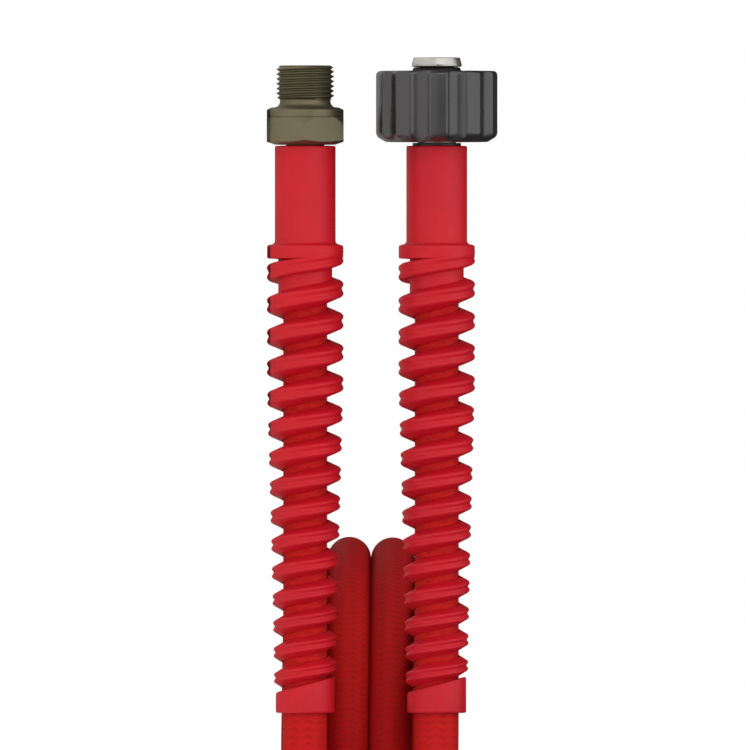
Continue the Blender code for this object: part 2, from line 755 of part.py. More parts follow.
def spigot_outline():
    """The spigot that the nut turns on, with a flange that holds the nut and an O-ring groove."""
    cone_base = SPIGOT_TIP - SPIGOT_TIP_HEIGHT
    groove_height = 2 * (O_RING_SECTION_RADIUS + GAP)
    groove_radius = O_RING_RADIUS - O_RING_SECTION_RADIUS - GAP
    flange_base = NUT_BASE + NUT_FLOOR + INSERT_FLOOR + 2 * GAP
    flange_top = flange_base + SPIGOT_FLANGE_HEIGHT
    return [
        (SPIGOT_TIP_RADIUS - SPIGOT_TIP_EDGE, SPIGOT_TIP),
        (SPIGOT_TIP_RADIUS, SPIGOT_TIP - SPIGOT_TIP_EDGE),
        (SPIGOT_RADIUS, cone_base),
        (groove_radius, cone_base),
        (groove_radius, cone_base - groove_height),
        (SPIGOT_RADIUS, cone_base - groove_height),
        (SPIGOT_RADIUS, flange_top),
        (SPIGOT_FLANGE_RADIUS, flange_top),
        (SPIGOT_FLANGE_RADIUS, flange_base),
        (STEM_RADIUS, flange_base),
        (STEM_RADIUS, -HOSE_END_RECESS),
        (WATER_BORE_RADIUS, -HOSE_END_RECESS),
        (WATER_BORE_RADIUS, SPIGOT_TIP),
    ]


def o_ring_outline():
    """The O-ring's round section."""
    centre = SPIGOT_TIP - SPIGOT_TIP_HEIGHT - O_RING_SECTION_RADIUS - GAP
    return arc(O_RING_RADIUS, centre, O_RING_SECTION_RADIUS, 2 * pi, 0.0, O_RING_SECTION_STEPS)[:-1]


def insert_outline():
    """The metal insert of the nut: a floor around the stem and a bore for the thread."""
    base = NUT_BASE + NUT_FLOOR + GAP
    floor = base + INSERT_FLOOR
    top = NUT_BASE + NUT_HEIGHT - NUT_LIP - GAP
    hole = STEM_RADIUS + SPIN_CLEARANCE
    return [
        (INSERT_RADIUS, top),
        (INSERT_RADIUS, base),
        (hole, base),
        (hole, floor),
        (INSERT_BORE_RADIUS, floor),
        (INSERT_BORE_RADIUS, top - INSERT_CHAMFER),
        (INSERT_BORE_RADIUS + INSERT_CHAMFER, top),
    ]


def nut_outline():
    """The plastic grip before its flutes are cut."""
    top = NUT_BASE + NUT_HEIGHT
    pocket = INSERT_RADIUS + GAP
    pocket_floor = NUT_BASE + NUT_FLOOR
    hole = STEM_RADIUS + SPIN_CLEARANCE + GAP
    edge = arc(NUT_RADIUS - NUT_EDGE_RADIUS, top - NUT_EDGE_RADIUS, NUT_EDGE_RADIUS,
               pi / 2, 0.0, NUT_EDGE_STEPS)
    return edge + [
        (NUT_RADIUS, NUT_BASE + NUT_BASE_CHAMFER_HEIGHT),
        (NUT_RADIUS - NUT_BASE_CHAMFER_WIDTH, NUT_BASE),
        (hole, NUT_BASE),
        (hole, pocket_floor),
        (pocket, pocket_floor),
        (pocket, top - NUT_LIP),
        (NUT_MOUTH_RADIUS, top - NUT_LIP),
        (NUT_MOUTH_RADIUS, top - NUT_MOUTH_CHAMFER),
        (NUT_MOUTH_RADIUS + NUT_MOUTH_CHAMFER, top),
    ]


def make_flutes(cutters, nut_end):
    """The round cutters that leave the nut's lobes between them, as one mesh."""
    half_chord = NUT_RADIUS * sin(NUT_FLUTE_HALF_ANGLE)
    depth = NUT_FLUTE_DEPTH - NUT_RADIUS * (1 - cos(NUT_FLUTE_HALF_ANGLE))
    radius = (half_chord ** 2 + depth ** 2) / (2 * depth)
    reach = NUT_RADIUS - NUT_FLUTE_DEPTH + radius
    bm = bmesh.new()
    for lobe in range(NUT_LOBES):
        angle = 2 * pi * (lobe + 0.5) / NUT_LOBES + NUT_LOBE_TURN + pi / 2
        made = bmesh.ops.create_cone(bm, cap_ends=True, segments=NUT_FLUTE_STEPS, radius1=radius,
                                     radius2=radius, depth=2 * NUT_HEIGHT)
        place = Vector((reach * cos(angle), reach * sin(angle), NUT_BASE + NUT_HEIGHT / 2))
        bmesh.ops.translate(bm, verts=made["verts"], vec=place)
    return add_object("nut_flutes", mesh_from("nut_flutes", bm), cutters, None, nut_end)


def make_nut_end(parts, cutters, finishes, nut_end):
    turned("spigot", spigot_outline(), SPIGOT_STEPS, parts, finishes["steel"], nut_end)
    turned("spigot_o_ring", o_ring_outline(), SPIGOT_STEPS, parts, finishes["seal"], nut_end)
    turned("nut_insert", insert_outline(), INSERT_STEPS, parts, finishes["brass"], nut_end)
    nut = turned("grip_nut", nut_outline(), NUT_STEPS, parts, finishes["grip"], nut_end)
    combine(nut, make_flutes(cutters, nut_end), "DIFFERENCE")


def make_hose():
    clear_scene()
    parts = new_collection("pressure_washer_hose")
    cutters = new_collection("cutters")
    finishes = {
        "hose": new_material("hose_cover", (0.40, 0.013, 0.016), 0.75),
        "guard": new_material("guard_moulding", (0.58, 0.018, 0.035), 0.45),
        "plated": new_material("plated_fitting", (0.19, 0.17, 0.11), 0.38, 1.0),
        "ferrule": new_material("ferrule_steel", (0.10, 0.09, 0.07), 0.45, 1.0),
        "steel": new_material("bright_steel", (0.62, 0.61, 0.58), 0.25, 1.0),
        "brass": new_material("insert_brass", (0.48, 0.36, 0.16), 0.35, 1.0),
        "grip": new_material("nut_plastic", (0.045, 0.042, 0.045), 0.5),
        "seal": new_material("seal_rubber", (0.012, 0.012, 0.012), 0.35),
        "tie": new_material("tie_webbing", (0.02, 0.02, 0.022), 0.85),
    }
    fitting_x = COIL_X - LEAD_LENGTH
    lead_y = COIL_Y - COIL_OUTER_COLUMN
    outwards = (0.0, -pi / 2, 0.0)
    male_end = add_empty("male_end", parts, (fitting_x, lead_y, MALE_AXIS_HEIGHT), outwards)
    nut_end = add_empty("nut_end", parts, (fitting_x, lead_y, NUT_AXIS_HEIGHT), outwards)
    lean = add_empty("coil_lean", parts, (COIL_X, COIL_Y, COIL_CENTRE_HEIGHT), (0.0, COIL_LEAN, 0.0))
    bpy.context.view_layer.update()

    make_coil(parts, finishes["hose"], lean)
    coil_space = make_coil_cutter(cutters, lean)
    make_hose_stretches(parts, finishes["hose"], coil_space)
    for index, azimuth in enumerate(TIE_AZIMUTHS):
        make_tie(f"coil_tie_{index + 1}", azimuth, parts, finishes["tie"], lean)
    make_kink_guards(parts, cutters, finishes["guard"], male_end, nut_end)
    make_ferrules(parts, finishes["ferrule"], male_end, nut_end)
    make_male_fitting(parts, cutters, finishes["plated"], male_end)
    make_nut_end(parts, cutters, finishes, nut_end)


make_hose()
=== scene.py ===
"""Looks of a ten metre pressure washer hose, stored as a tied coil with both ends in front.

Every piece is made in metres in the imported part's frame: +X runs from the fittings to the
coil, +Z is up, and the hose ends lie at the coil's -Y side, one above the other.
"""

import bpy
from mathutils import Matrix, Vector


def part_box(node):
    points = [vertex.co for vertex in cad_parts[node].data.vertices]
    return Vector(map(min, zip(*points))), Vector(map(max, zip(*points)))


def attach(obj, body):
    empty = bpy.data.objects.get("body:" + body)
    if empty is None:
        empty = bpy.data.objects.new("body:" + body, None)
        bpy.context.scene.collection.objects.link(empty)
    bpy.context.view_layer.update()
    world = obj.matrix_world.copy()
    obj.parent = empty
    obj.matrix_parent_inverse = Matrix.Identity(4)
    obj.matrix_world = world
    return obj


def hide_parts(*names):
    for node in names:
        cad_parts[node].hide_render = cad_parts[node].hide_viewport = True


bl_info = {
    "name": "Pressure washer hose",
    "version": (1, 0, 0),
    "blender": (4, 5, 0),
    "location": "View3D > Sidebar > Hose",
    "description": "Builds a coiled pressure washer hose with its fittings and its studio",
    "category": "Add Mesh",
}

from math import asin, atan2, ceil, cos, pi, radians, sin, sqrt, tan

import bmesh
import bpy
from bpy.props import FloatProperty, FloatVectorProperty, IntProperty, PointerProperty
from bpy.types import Operator, Panel, PropertyGroup
from mathutils import Matrix, Vector

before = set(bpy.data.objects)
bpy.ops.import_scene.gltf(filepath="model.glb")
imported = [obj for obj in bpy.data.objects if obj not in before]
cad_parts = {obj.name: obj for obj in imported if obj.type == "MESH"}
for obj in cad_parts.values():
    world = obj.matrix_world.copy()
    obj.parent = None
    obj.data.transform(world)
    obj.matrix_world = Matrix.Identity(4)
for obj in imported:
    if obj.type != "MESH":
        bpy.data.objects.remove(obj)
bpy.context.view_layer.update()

MM = 0.001
MERGE_DISTANCE = 0.001 * MM
SHARP_EDGE = radians(38)

# Fit between pieces, and the hose end's depth in its ferrule
GAP = 0.3 * MM
HOSE_END_RECESS = 2.0 * MM
FERRULE_LENGTH = 28.3 * MM

# Places read from the frame
COIL_LOW, COIL_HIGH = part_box("hose_coil")
COIL_CENTRE = (Vector(COIL_LOW) + Vector(COIL_HIGH)) / 2
MALE_LOW, MALE_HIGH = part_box("ferrule_male")
NUT_LOW, NUT_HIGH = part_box("ferrule_nut")
END_X = MALE_HIGH[0] - FERRULE_LENGTH
END_Y = (MALE_LOW[1] + MALE_HIGH[1]) / 2
MALE_Z = (MALE_LOW[2] + MALE_HIGH[2]) / 2
NUT_Z = (NUT_LOW[2] + NUT_HIGH[2]) / 2

# Coil winding
COIL_INNER_RADIUS = 112.0 * MM
COIL_COLUMN_STEP = 14.0 * MM
COIL_OUTER_RADIUS = COIL_INNER_RADIUS + 2 * COIL_COLUMN_STEP
TOP_LAYER = 1.5
WINDING_STEP = radians(2)
CROSSING_ANGLE = radians(36)
BIGHT_AZIMUTH = radians(-100)
BIGHT_START_SHARE = 0.12
LEAD_LEVEL_PART = 176.9 * MM
PATH_STEP = 5.0 * MM
LOWER_CELLS = ((0, 2), (1, 2), (1, 1), (0, 1), (0, 0), (1, 0))
TIE_AZIMUTHS = (radians(-45), radians(45), radians(118))

# Photograph, in its own pixels
PHOTO_SIZE = 750
PHOTO_PIXELS_PER_METRE = 3200
PHOTO_MALE_AXIS_X = 305.2
PHOTO_SLEEVE_TOP_Y = 146.5


class HoseSizes(PropertyGroup):
    """Sizes of the hose and its ends."""

    hose_diameter: FloatProperty(
        name="Hose diameter", description="Outside diameter of the hose",
        default=13.7 * MM, unit="LENGTH")
    hose_length: FloatProperty(
        name="Hose length", description="Whole length of the hose",
        default=10.0, unit="LENGTH")
    chevron_columns: IntProperty(
        name="Chevron columns", description="Columns of the textile imprint round the hose",
        default=9, min=4)
    chevron_pitch: FloatProperty(
        name="Chevron pitch", description="Spacing of the imprint along the hose",
        default=2.35 * MM, unit="LENGTH")
    guard_length: FloatProperty(
        name="Guard length", description="Length of a kink guard",
        default=177.0 * MM, unit="LENGTH")
    nut_radius: FloatProperty(
        name="Nut radius", description="Radius of the hand nut over its lobes",
        default=19.25 * MM, unit="LENGTH")
    nut_lobes: IntProperty(
        name="Nut lobes", description="Lobes of the hand nut", default=10, min=5)
    thread_pitch: FloatProperty(
        name="Thread pitch", description="Pitch of the male thread",
        default=1.5 * MM, unit="LENGTH")


class HoseColours(PropertyGroup):
    """Colours of the hose's finishes."""

    hose: FloatVectorProperty(
        name="Hose cover", description="Colour of the rubber cover", subtype="COLOR",
        size=3, default=(0.455, 0.009, 0.009))
    guard: FloatVectorProperty(
        name="Kink guard", description="Colour of the moulded guards", subtype="COLOR",
        size=3, default=(0.515, 0.003, 0.013))
    plated: FloatVectorProperty(
        name="Male fitting", description="Colour of the passivated steel", subtype="COLOR",
        size=3, default=(0.205, 0.185, 0.115))
    steel: FloatVectorProperty(
        name="Spigot", description="Colour of the bright steel", subtype="COLOR",
        size=3, default=(0.55, 0.54, 0.51))
    grip: FloatVectorProperty(
        name="Hand nut", description="Colour of the plastic grip", subtype="COLOR",
        size=3, default=(0.014, 0.012, 0.013))
    webbing: FloatVectorProperty(
        name="Tie", description="Colour of the coil ties", subtype="COLOR",
        size=3, default=(0.018, 0.018, 0.020))


def sizes():
    return bpy.context.scene.hose_sizes


def hose_seat():
    """Radius of a bore that the hose passes through."""
    return sizes().hose_diameter / 2 + GAP


def colours():
    return bpy.context.scene.hose_colours


# Curves and outlines


def eased(share):
    """Ease from 0 to 1 along half a cosine wave."""
    share = min(max(share, 0.0), 1.0)
    return (1 - cos(pi * share)) / 2


def arc(centre_r, centre_z, radius, start, end, steps):
    """Points of an outline along an arc, by angle from +r towards +z."""
    points = []
    for step in range(steps + 1):
        angle = start + (end - start) * step / steps
        points.append((centre_r + radius * cos(angle), centre_z + radius * sin(angle)))
    return points


def rounded(corners, steps=4):
    """An outline from (r, z, fillet radius) corners, with an arc for each filleted one."""
    points = []
    count = len(corners)
    for index, (r, z, fillet) in enumerate(corners):
        here = Vector((r, z))
        if fillet <= 0:
            points.append((r, z))
            continue
        before = Vector(corners[index - 1][:2]) - here
        after = Vector(corners[(index + 1) % count][:2]) - here
        half = before.angle(after) / 2
        reach = fillet / tan(half)
        start = here + before.normalized() * reach
        end = here + after.normalized() * reach
        inwards = (before.normalized() + after.normalized()).normalized()
        centre = here + inwards * (fillet / sin(half))
        first = atan2(start.y - centre.y, start.x - centre.x)
        sweep = atan2(end.y - centre.y, end.x - centre.x) - first
        if sweep > pi:
            sweep -= 2 * pi
        if sweep < -pi:
            sweep += 2 * pi
        points += arc(centre.x, centre.y, fillet, first, first + sweep, steps)
    return points


# Meshes


def end_place(height):
    """The place of a hose end: its local +Z points out of the end and its local +X points up."""
    return Matrix.Translation((END_X, END_Y, height)) @ Matrix.Rotation(-pi / 2, 4, "Y")


def around_axis(outline, angle, height):
    """An outline's points, turned to an angle about Z and moved to a height."""
    return [Vector((r * cos(angle), r * sin(angle), height + z)) for r, z in outline]


def outline_loop(bm, points):
    """A closed loop of edges in the XZ plane."""
    verts = [bm.verts.new((r, 0.0, z)) for r, z in points]
    for index, vert in enumerate(verts):
        bm.edges.new((vert, verts[(index + 1) % len(verts)]))


def turned(points, steps):
    """A bmesh of a closed outline spun about Z."""
    bm = bmesh.new()
    outline_loop(bm, points)
    bmesh.ops.spin(bm, geom=bm.verts[:] + bm.edges[:], cent=(0, 0, 0), axis=(0, 0, 1),
                   dvec=(0, 0, 0), angle=2 * pi, steps=steps, use_merge=True,
                   use_duplicate=False)
    bmesh.ops.remove_doubles(bm, verts=bm.verts, dist=MERGE_DISTANCE)
    bmesh.ops.recalc_face_normals(bm, faces=bm.faces)
    return bm


def swept(stations, section_at):
    """A closed bar: a section swept round Z, then set by station so that it may taper."""
    section = section_at(0)
    bm = bmesh.new()
    outline_loop(bm, [(point[0], point[2]) for point in section])
    bmesh.ops.spin(bm, geom=bm.verts[:] + bm.edges[:], cent=(0, 0, 0), axis=(0, 0, 1),
                   dvec=(0, 0, MM), angle=pi, steps=stations, use_merge=False,
                   use_duplicate=False)
    bm.verts.ensure_lookup_table()
    count = len(section)
    for station in range(stations + 1):
        for offset, place in enumerate(section_at(station)):
            bm.verts[station * count + offset].co = place
    ends = [edge for edge in bm.edges if edge.is_boundary]
    bmesh.ops.holes_fill(bm, edges=ends, sides=0)
    bmesh.ops.recalc_face_normals(bm, faces=bm.faces)
    return bm


def mesh_from(bm, name, sharp=SHARP_EDGE):
    """Store a bmesh as a mesh, smooth but for edges past the given angle."""
    mesh = bpy.data.meshes.new(name)
    bm.to_mesh(mesh)
    bm.free()
    mesh.shade_smooth()
    mesh.set_sharp_from_angle(angle=sharp)
    return mesh


def add_mesh(name, mesh, material=None):
    """Link a mesh as an object at the origin."""
    piece = bpy.data.objects.new(name, mesh)
    bpy.context.scene.collection.objects.link(piece)
    if material is not None:
        mesh.materials.clear()
        mesh.materials.append(material)
    return piece


def combined(base, tools, sharp=SHARP_EDGE):
    """The first form joined with, or cut by, the others in turn, as one mesh."""
    holder = add_mesh("form", mesh_from(base, "form"))
    helpers = [holder]
    for tool, operation in tools:
        helper = add_mesh("tool", mesh_from(tool, "tool"))
        helpers.append(helper)
        boolean = holder.modifiers.new("combine", "BOOLEAN")
        boolean.object = helper
        boolean.operation = operation
        boolean.solver = "EXACT"
    bpy.context.view_layer.update()
    depsgraph = bpy.context.evaluated_depsgraph_get()
    mesh = bpy.data.meshes.new_from_object(holder.evaluated_get(depsgraph))
    for helper in helpers:
        data = helper.data
        bpy.data.objects.remove(helper, do_unlink=True)
        bpy.data.meshes.remove(data)
    mesh.set_sharp_from_angle(angle=sharp)
    return mesh


def placed(name, mesh, place, material):
    """Link a mesh with its place put into its points."""
    mesh.name = name
    mesh.transform(place)
    return add_mesh(name, mesh, material)


def settle(piece, body, slot, *nodes):
    """Make a piece ride on its body and hide the nodes it stands for; the finish slot is not used."""
    if nodes:
        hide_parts(*nodes)
    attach(piece, body)
    return piece


# Shader groups

CHEVRON_FADE = -1.5


def shader_group(name, inputs, outputs):
    """A new node group with value outputs, and inputs that are a vector where they have no default."""
    group = bpy.data.node_groups.new(name, "ShaderNodeTree")
    for label, default in inputs.items():
        kind = "NodeSocketVector" if default is None else "NodeSocketFloat"
        socket = group.interface.new_socket(name=label, in_out="INPUT", socket_type=kind)
        if default is not None:
            socket.default_value = default
    for label in outputs:
        group.interface.new_socket(name=label, in_out="OUTPUT", socket_type="NodeSocketFloat")
    nodes = group.nodes
    return group, nodes, group.links, nodes.new("NodeGroupInput"), nodes.new("NodeGroupOutput")


def math_node(nodes, links, operation, first, second=None, third=None):
    """A maths node fed by sockets or plain numbers, which gives its result socket."""
    node = nodes.new("ShaderNodeMath")
    node.operation = operation
    for index, value in enumerate((first, second, third)):
        if value is None:
            continue
        if isinstance(value, (int, float)):
            node.inputs[index].default_value = value
        else:
            links.new(value, node.inputs[index])
    return node.outputs[0]


def grain_group():
    """Fine grain: layered noise, as a height and as a mask for colour and roughness."""
    group = bpy.data.node_groups.get("moulded_grain")
    if group:
        return group
    group, nodes, links, source, sink = shader_group(
        "moulded_grain", {"Vector": None, "Fine Scale": 2500.0, "Broad Scale": 60.0},
        ("Height", "Mottle"))
    fine = nodes.new("ShaderNodeTexNoise")
    fine.inputs["Detail"].default_value = 3.0
    broad = nodes.new("ShaderNodeTexNoise")
    broad.inputs["Detail"].default_value = 4.0
    broad.inputs["Roughness"].default_value = 0.6
    for texture, scale in ((fine, "Fine Scale"), (broad, "Broad Scale")):
        links.new(source.outputs["Vector"], texture.inputs["Vector"])
        links.new(source.outputs[scale], texture.inputs["Scale"])
    links.new(fine.outputs["Fac"], sink.inputs["Height"])
    links.new(broad.outputs["Fac"], sink.inputs["Mottle"])
    return group


def turning_group():
    """Turning marks: fine rings round a hose end's axis, which runs along X."""
    group = bpy.data.node_groups.get("turning_marks")
    if group:
        return group
    group, nodes, links, source, sink = shader_group(
        "turning_marks", {"Vector": None, "Density": 4000.0}, ("Height",))
    split = nodes.new("ShaderNodeSeparateXYZ")
    links.new(source.outputs["Vector"], split.inputs["Vector"])
    along = math_node(nodes, links, "MULTIPLY", split.outputs["X"], source.outputs["Density"])
    texture = nodes.new("ShaderNodeTexNoise")
    texture.noise_dimensions = "1D"
    texture.inputs["Scale"].default_value = 1.0
    texture.inputs["Detail"].default_value = 2.0
    links.new(along, texture.inputs["W"])
    links.new(texture.outputs["Fac"], sink.inputs["Height"])
    return group


def chevron_group():
    """The textile's imprint: columns of nested V shapes along the hose."""
    group = bpy.data.node_groups.get("chevron_imprint")
    if group:
        return group
    group, nodes, links, source, sink = shader_group(
        "chevron_imprint", {"UV": None, "Rows": 4000.0, "Columns": 9.0, "Slant": -0.8},
        ("Height",))
    split = nodes.new("ShaderNodeSeparateXYZ")
    links.new(source.outputs["UV"], split.inputs["Vector"])
    around = math_node(nodes, links, "MULTIPLY", split.outputs["Y"], source.outputs["Columns"])
    column = math_node(nodes, links, "PINGPONG", around, 0.5)
    slant = math_node(nodes, links, "MULTIPLY", column, source.outputs["Slant"])
    along = math_node(nodes, links, "MULTIPLY", split.outputs["X"], source.outputs["Rows"])
    row = math_node(nodes, links, "ADD", along, slant)
    wave = math_node(nodes, links, "PINGPONG", row, 0.5)
    ridge = math_node(nodes, links, "MULTIPLY", wave, 2.0)
    hollow = math_node(nodes, links, "SUBTRACT", 1.0, ridge)
    fade = math_node(nodes, links, "MULTIPLY_ADD", column, CHEVRON_FADE, 1.0)
    groove = math_node(nodes, links, "MULTIPLY", hollow, fade)
    height = math_node(nodes, links, "SUBTRACT", 1.0, groove)
    links.new(height, sink.inputs["Height"])
    return group


# Materials

FERRULE_STEEL = (0.09, 0.085, 0.07)
INSERT_BRASS = (0.50, 0.38, 0.17)
SEAL_BLACK = (0.006, 0.006, 0.006)
FLOOR_WHITE = (0.9, 0.9, 0.9)
FLOOR_SHADES = ((0.89, 0.89, 0.89), (0.91, 0.91, 0.91))


def new_material(name, colour, roughness, metallic=0.0):
    """A Principled material with its nodes and links, ready for its finish."""
    material = bpy.data.materials.new(name)
    material.use_nodes = True
    nodes, links = material.node_tree.nodes, material.node_tree.links
    shader = nodes["Principled BSDF"]
    shader.inputs["Base Color"].default_value = (*colour, 1.0)
    shader.inputs["Roughness"].default_value = roughness
    shader.inputs["Metallic"].default_value = metallic
    material.diffuse_color = (*colour, 1.0)
    return material, nodes, links, shader


def object_coordinates(nodes):
    return nodes.new("ShaderNodeTexCoord").outputs["Object"]


def use_group(nodes, links, group, vector, values):
    """Place a shader group, feed it a vector and set its own values."""
    node = nodes.new("ShaderNodeGroup")
    node.node_tree = group
    links.new(vector, node.inputs[0])
    for name, value in values.items():
        node.inputs[name].default_value = value
    return node


def grain_node(nodes, links, vector, fine, broad):
    return use_group(nodes, links, grain_group(), vector, {"Fine Scale": fine, "Broad Scale": broad})


def feed_colour(nodes, links, shader, factor, dark, light, low=0.35, high=0.65):
    """Run the base colour from dark to light over a mask."""
    spread = nodes.new("ShaderNodeMapRange")
    spread.inputs["From Min"].default_value = low
    spread.inputs["From Max"].default_value = high
    links.new(factor, spread.inputs["Value"])
    blend = nodes.new("ShaderNodeMix")
    blend.data_type = "RGBA"
    blend.inputs["A"].default_value = (*dark, 1.0)
    blend.inputs["B"].default_value = (*light, 1.0)
    links.new(spread.outputs["Result"], blend.inputs["Factor"])
    links.new(blend.outputs["Result"], shader.inputs["Base Color"])


def feed_roughness(nodes, links, shader, factor, low, high):
    spread = nodes.new("ShaderNodeMapRange")
    spread.inputs["To Min"].default_value = low
    spread.inputs["To Max"].default_value = high
    links.new(factor, spread.inputs["Value"])
    links.new(spread.outputs["Result"], shader.inputs["Roughness"])


def feed_bump(nodes, links, shader, height, strength, distance):
    bump = nodes.new("ShaderNodeBump")
    bump.inputs["Strength"].default_value = strength
    bump.inputs["Distance"].default_value = distance
    links.new(height, bump.inputs["Height"])
    links.new(bump.outputs["Normal"], shader.inputs["Normal"])


def shade(colour, factor):
    return tuple(channel * factor for channel in colour)


def hose_cover():
    """Dark red rubber cover with the textile's chevrons pressed into it, and painted shade in their
    grooves.
    """
    material, nodes, links, shader = new_material("hose_cover", colours().hose, roughness=0.62)
    shader.inputs["Specular IOR Level"].default_value = 0.10
    uv = nodes.new("ShaderNodeTexCoord").outputs["UV"]
    chevron = use_group(nodes, links, chevron_group(), uv, {
        "Rows": sizes().hose_length / sizes().chevron_pitch,
        "Columns": float(sizes().chevron_columns),
        "Slant": -0.8,
    })
    grain = grain_node(nodes, links, object_coordinates(nodes), fine=3500.0, broad=45.0)
    # The colour follows the mottle and the imprint's height: painted shade darkens the chevron
    # grooves.
    mottle_and_groove_shade = math_node(nodes, links, "MULTIPLY_ADD", grain.outputs["Mottle"], 0.5,
                    chevron.outputs["Height"])
    feed_colour(nodes, links, shader, mottle_and_groove_shade, shade(colours().hose, 0.80),
                shade(colours().hose, 1.06), low=0.25, high=1.1)
    feed_roughness(nodes, links, shader, grain.outputs["Mottle"], low=0.55, high=0.75)
    height = math_node(nodes, links, "MULTIPLY_ADD", grain.outputs["Height"], 0.12,
                       chevron.outputs["Height"])
    feed_bump(nodes, links, shader, height, strength=0.55, distance=0.12 * MM)
    return material


def guard_moulding():
    """Red moulded guard with a soft sheen and a faint orange-peel grain."""
    material, nodes, links, shader = new_material("guard_moulding", colours().guard, roughness=0.52)
    shader.inputs["Specular IOR Level"].default_value = 0.36
    grain = grain_node(nodes, links, object_coordinates(nodes), fine=1800.0, broad=35.0)
    feed_colour(nodes, links, shader, grain.outputs["Mottle"], shade(colours().guard, 0.93),
                shade(colours().guard, 1.06))
    feed_roughness(nodes, links, shader, grain.outputs["Mottle"], low=0.48, high=0.58)
    feed_bump(nodes, links, shader, grain.outputs["Height"], strength=0.16, distance=0.04 * MM)
    return material


def metal(name, colour, roughness, mottle, density, bump):
    """Turned metal with ring marks and a slight change of colour."""
    material, nodes, links, shader = new_material(name, colour, roughness, metallic=1.0)
    vector = object_coordinates(nodes)
    grain = grain_node(nodes, links, vector, fine=2600.0, broad=130.0)
    marks = use_group(nodes, links, turning_group(), vector, {"Density": density})
    feed_colour(nodes, links, shader, grain.outputs["Mottle"], shade(colour, 1 - mottle),
                shade(colour, 1 + mottle))
    feed_roughness(nodes, links, shader, grain.outputs["Mottle"],
                   low=0.8 * roughness, high=1.25 * roughness)
    height = math_node(nodes, links, "MULTIPLY_ADD", grain.outputs["Height"], 0.4,
                       marks.outputs["Height"])
    feed_bump(nodes, links, shader, height, strength=bump, distance=0.03 * MM)
    return material


def grip_plastic():
    """Dark grey moulded nylon, satin, with a fine spark-eroded grain."""
    material, nodes, links, shader = new_material("grip_plastic", colours().grip, roughness=0.38)
    shader.inputs["Specular IOR Level"].default_value = 1.0
    grain = grain_node(nodes, links, object_coordinates(nodes), fine=3200.0, broad=90.0)
    feed_colour(nodes, links, shader, grain.outputs["Mottle"], shade(colours().grip, 0.85),
                shade(colours().grip, 1.2))
    feed_roughness(nodes, links, shader, grain.outputs["Mottle"], low=0.24, high=0.33)
    feed_bump(nodes, links, shader, grain.outputs["Height"], strength=0.14, distance=0.03 * MM)
    return material


def seal_rubber():
    """Black O-ring rubber with a dull skin."""
    material, nodes, links, shader = new_material("seal_rubber", SEAL_BLACK, roughness=0.45)
    shader.inputs["Specular IOR Level"].default_value = 0.25
    grain = grain_node(nodes, links, object_coordinates(nodes), fine=1500.0, broad=200.0)
    feed_roughness(nodes, links, shader, grain.outputs["Mottle"], low=0.38, high=0.52)
    feed_bump(nodes, links, shader, grain.outputs["Height"], strength=0.05, distance=0.03 * MM)
    return material


def tie_webbing():
    """Black hook-and-loop webbing: a fine pile over a woven back, with painted shade in the hollows of
    its cells and painted highlight on their ridges.
    """
    material, nodes, links, shader = new_material("tie_webbing", colours().webbing, roughness=0.9)
    shader.inputs["Sheen Weight"].default_value = 0.25
    shader.inputs["Sheen Roughness"].default_value = 0.5
    vector = object_coordinates(nodes)
    grain = grain_node(nodes, links, vector, fine=1600.0, broad=300.0)
    cells = nodes.new("ShaderNodeTexVoronoi")
    cells.inputs["Scale"].default_value = 1400.0
    links.new(vector, cells.inputs["Vector"])
    height = math_node(nodes, links, "ADD", grain.outputs["Height"], cells.outputs["Distance"])
    # The cells that raise the pile also set its colour: painted shade in their hollows, painted
    # highlight on their ridges.
    feed_colour(nodes, links, shader, cells.outputs["Distance"], shade(colours().webbing, 0.6),
                shade(colours().webbing, 1.9), low=0.2, high=0.7)
    feed_bump(nodes, links, shader, height, strength=0.7, distance=0.2 * MM)
    return material


# Route of the hose


def coil_lean():
    """The angle by which the coil leans down from its near side to its far side."""
    rise = MALE_Z - COIL_CENTRE.z + TOP_LAYER * sizes().hose_diameter
    return asin(rise / COIL_OUTER_RADIUS)


def from_coil(x, y, z):
    """A point given from the leaning coil's centre, in the frame."""
    lean = coil_lean()
    return COIL_CENTRE + Vector((
        x * cos(lean) + z * sin(lean), y, z * cos(lean) - x * sin(lean),
    ))


def strand_point(travelled, upper):
    """A point of one half of the winding, by the angle travelled from the coil's front."""
    layer, column = LOWER_CELLS[0]
    for move in range(len(LOWER_CELLS) - 1):
        end = 2 * pi * (move + 1) - move * CROSSING_ANGLE
        share = eased((travelled - end + CROSSING_ANGLE) / CROSSING_ANGLE)
        layer += (LOWER_CELLS[move + 1][0] - LOWER_CELLS[move][0]) * share
        column += (LOWER_CELLS[move + 1][1] - LOWER_CELLS[move][1]) * share
    radius = COIL_INNER_RADIUS + column * COIL_COLUMN_STEP
    height = (layer - TOP_LAYER) * sizes().hose_diameter
    if upper:
        height = -height
    azimuth = travelled - pi / 2
    return from_coil(radius * cos(azimuth), radius * sin(azimuth), height)


def winding(total, upper):
    """One half of the winding, from the front inwards."""
    steps = ceil(total / WINDING_STEP)
    return [strand_point(total * step / steps, upper) for step in range(steps + 1)]


def lead(level, upper):
    """A hose end's straight run, from inside its ferrule to the coil's front."""
    side = 1 if upper else -1
    joined = from_coil(0.0, -COIL_OUTER_RADIUS, side * TOP_LAYER * sizes().hose_diameter)
    reach = COIL_CENTRE.x - END_X
    start = reach - HOSE_END_RECESS - GAP
    run = reach - LEAD_LEVEL_PART
    slope = tan(coil_lean()) * run
    drop = level - joined.z
    steps = ceil(start / PATH_STEP)
    points = []
    for step in range(steps):
        distance = start * (1 - step / steps)
        share = min(max(1 - distance / run, 0.0), 1.0)
        ease = share * share * (3 - 2 * share)
        bend = share * share * (1 - share)
        height = level - drop * ease + slope * bend
        points.append(Vector((COIL_CENTRE.x - distance, joined.y, height)))
    return points


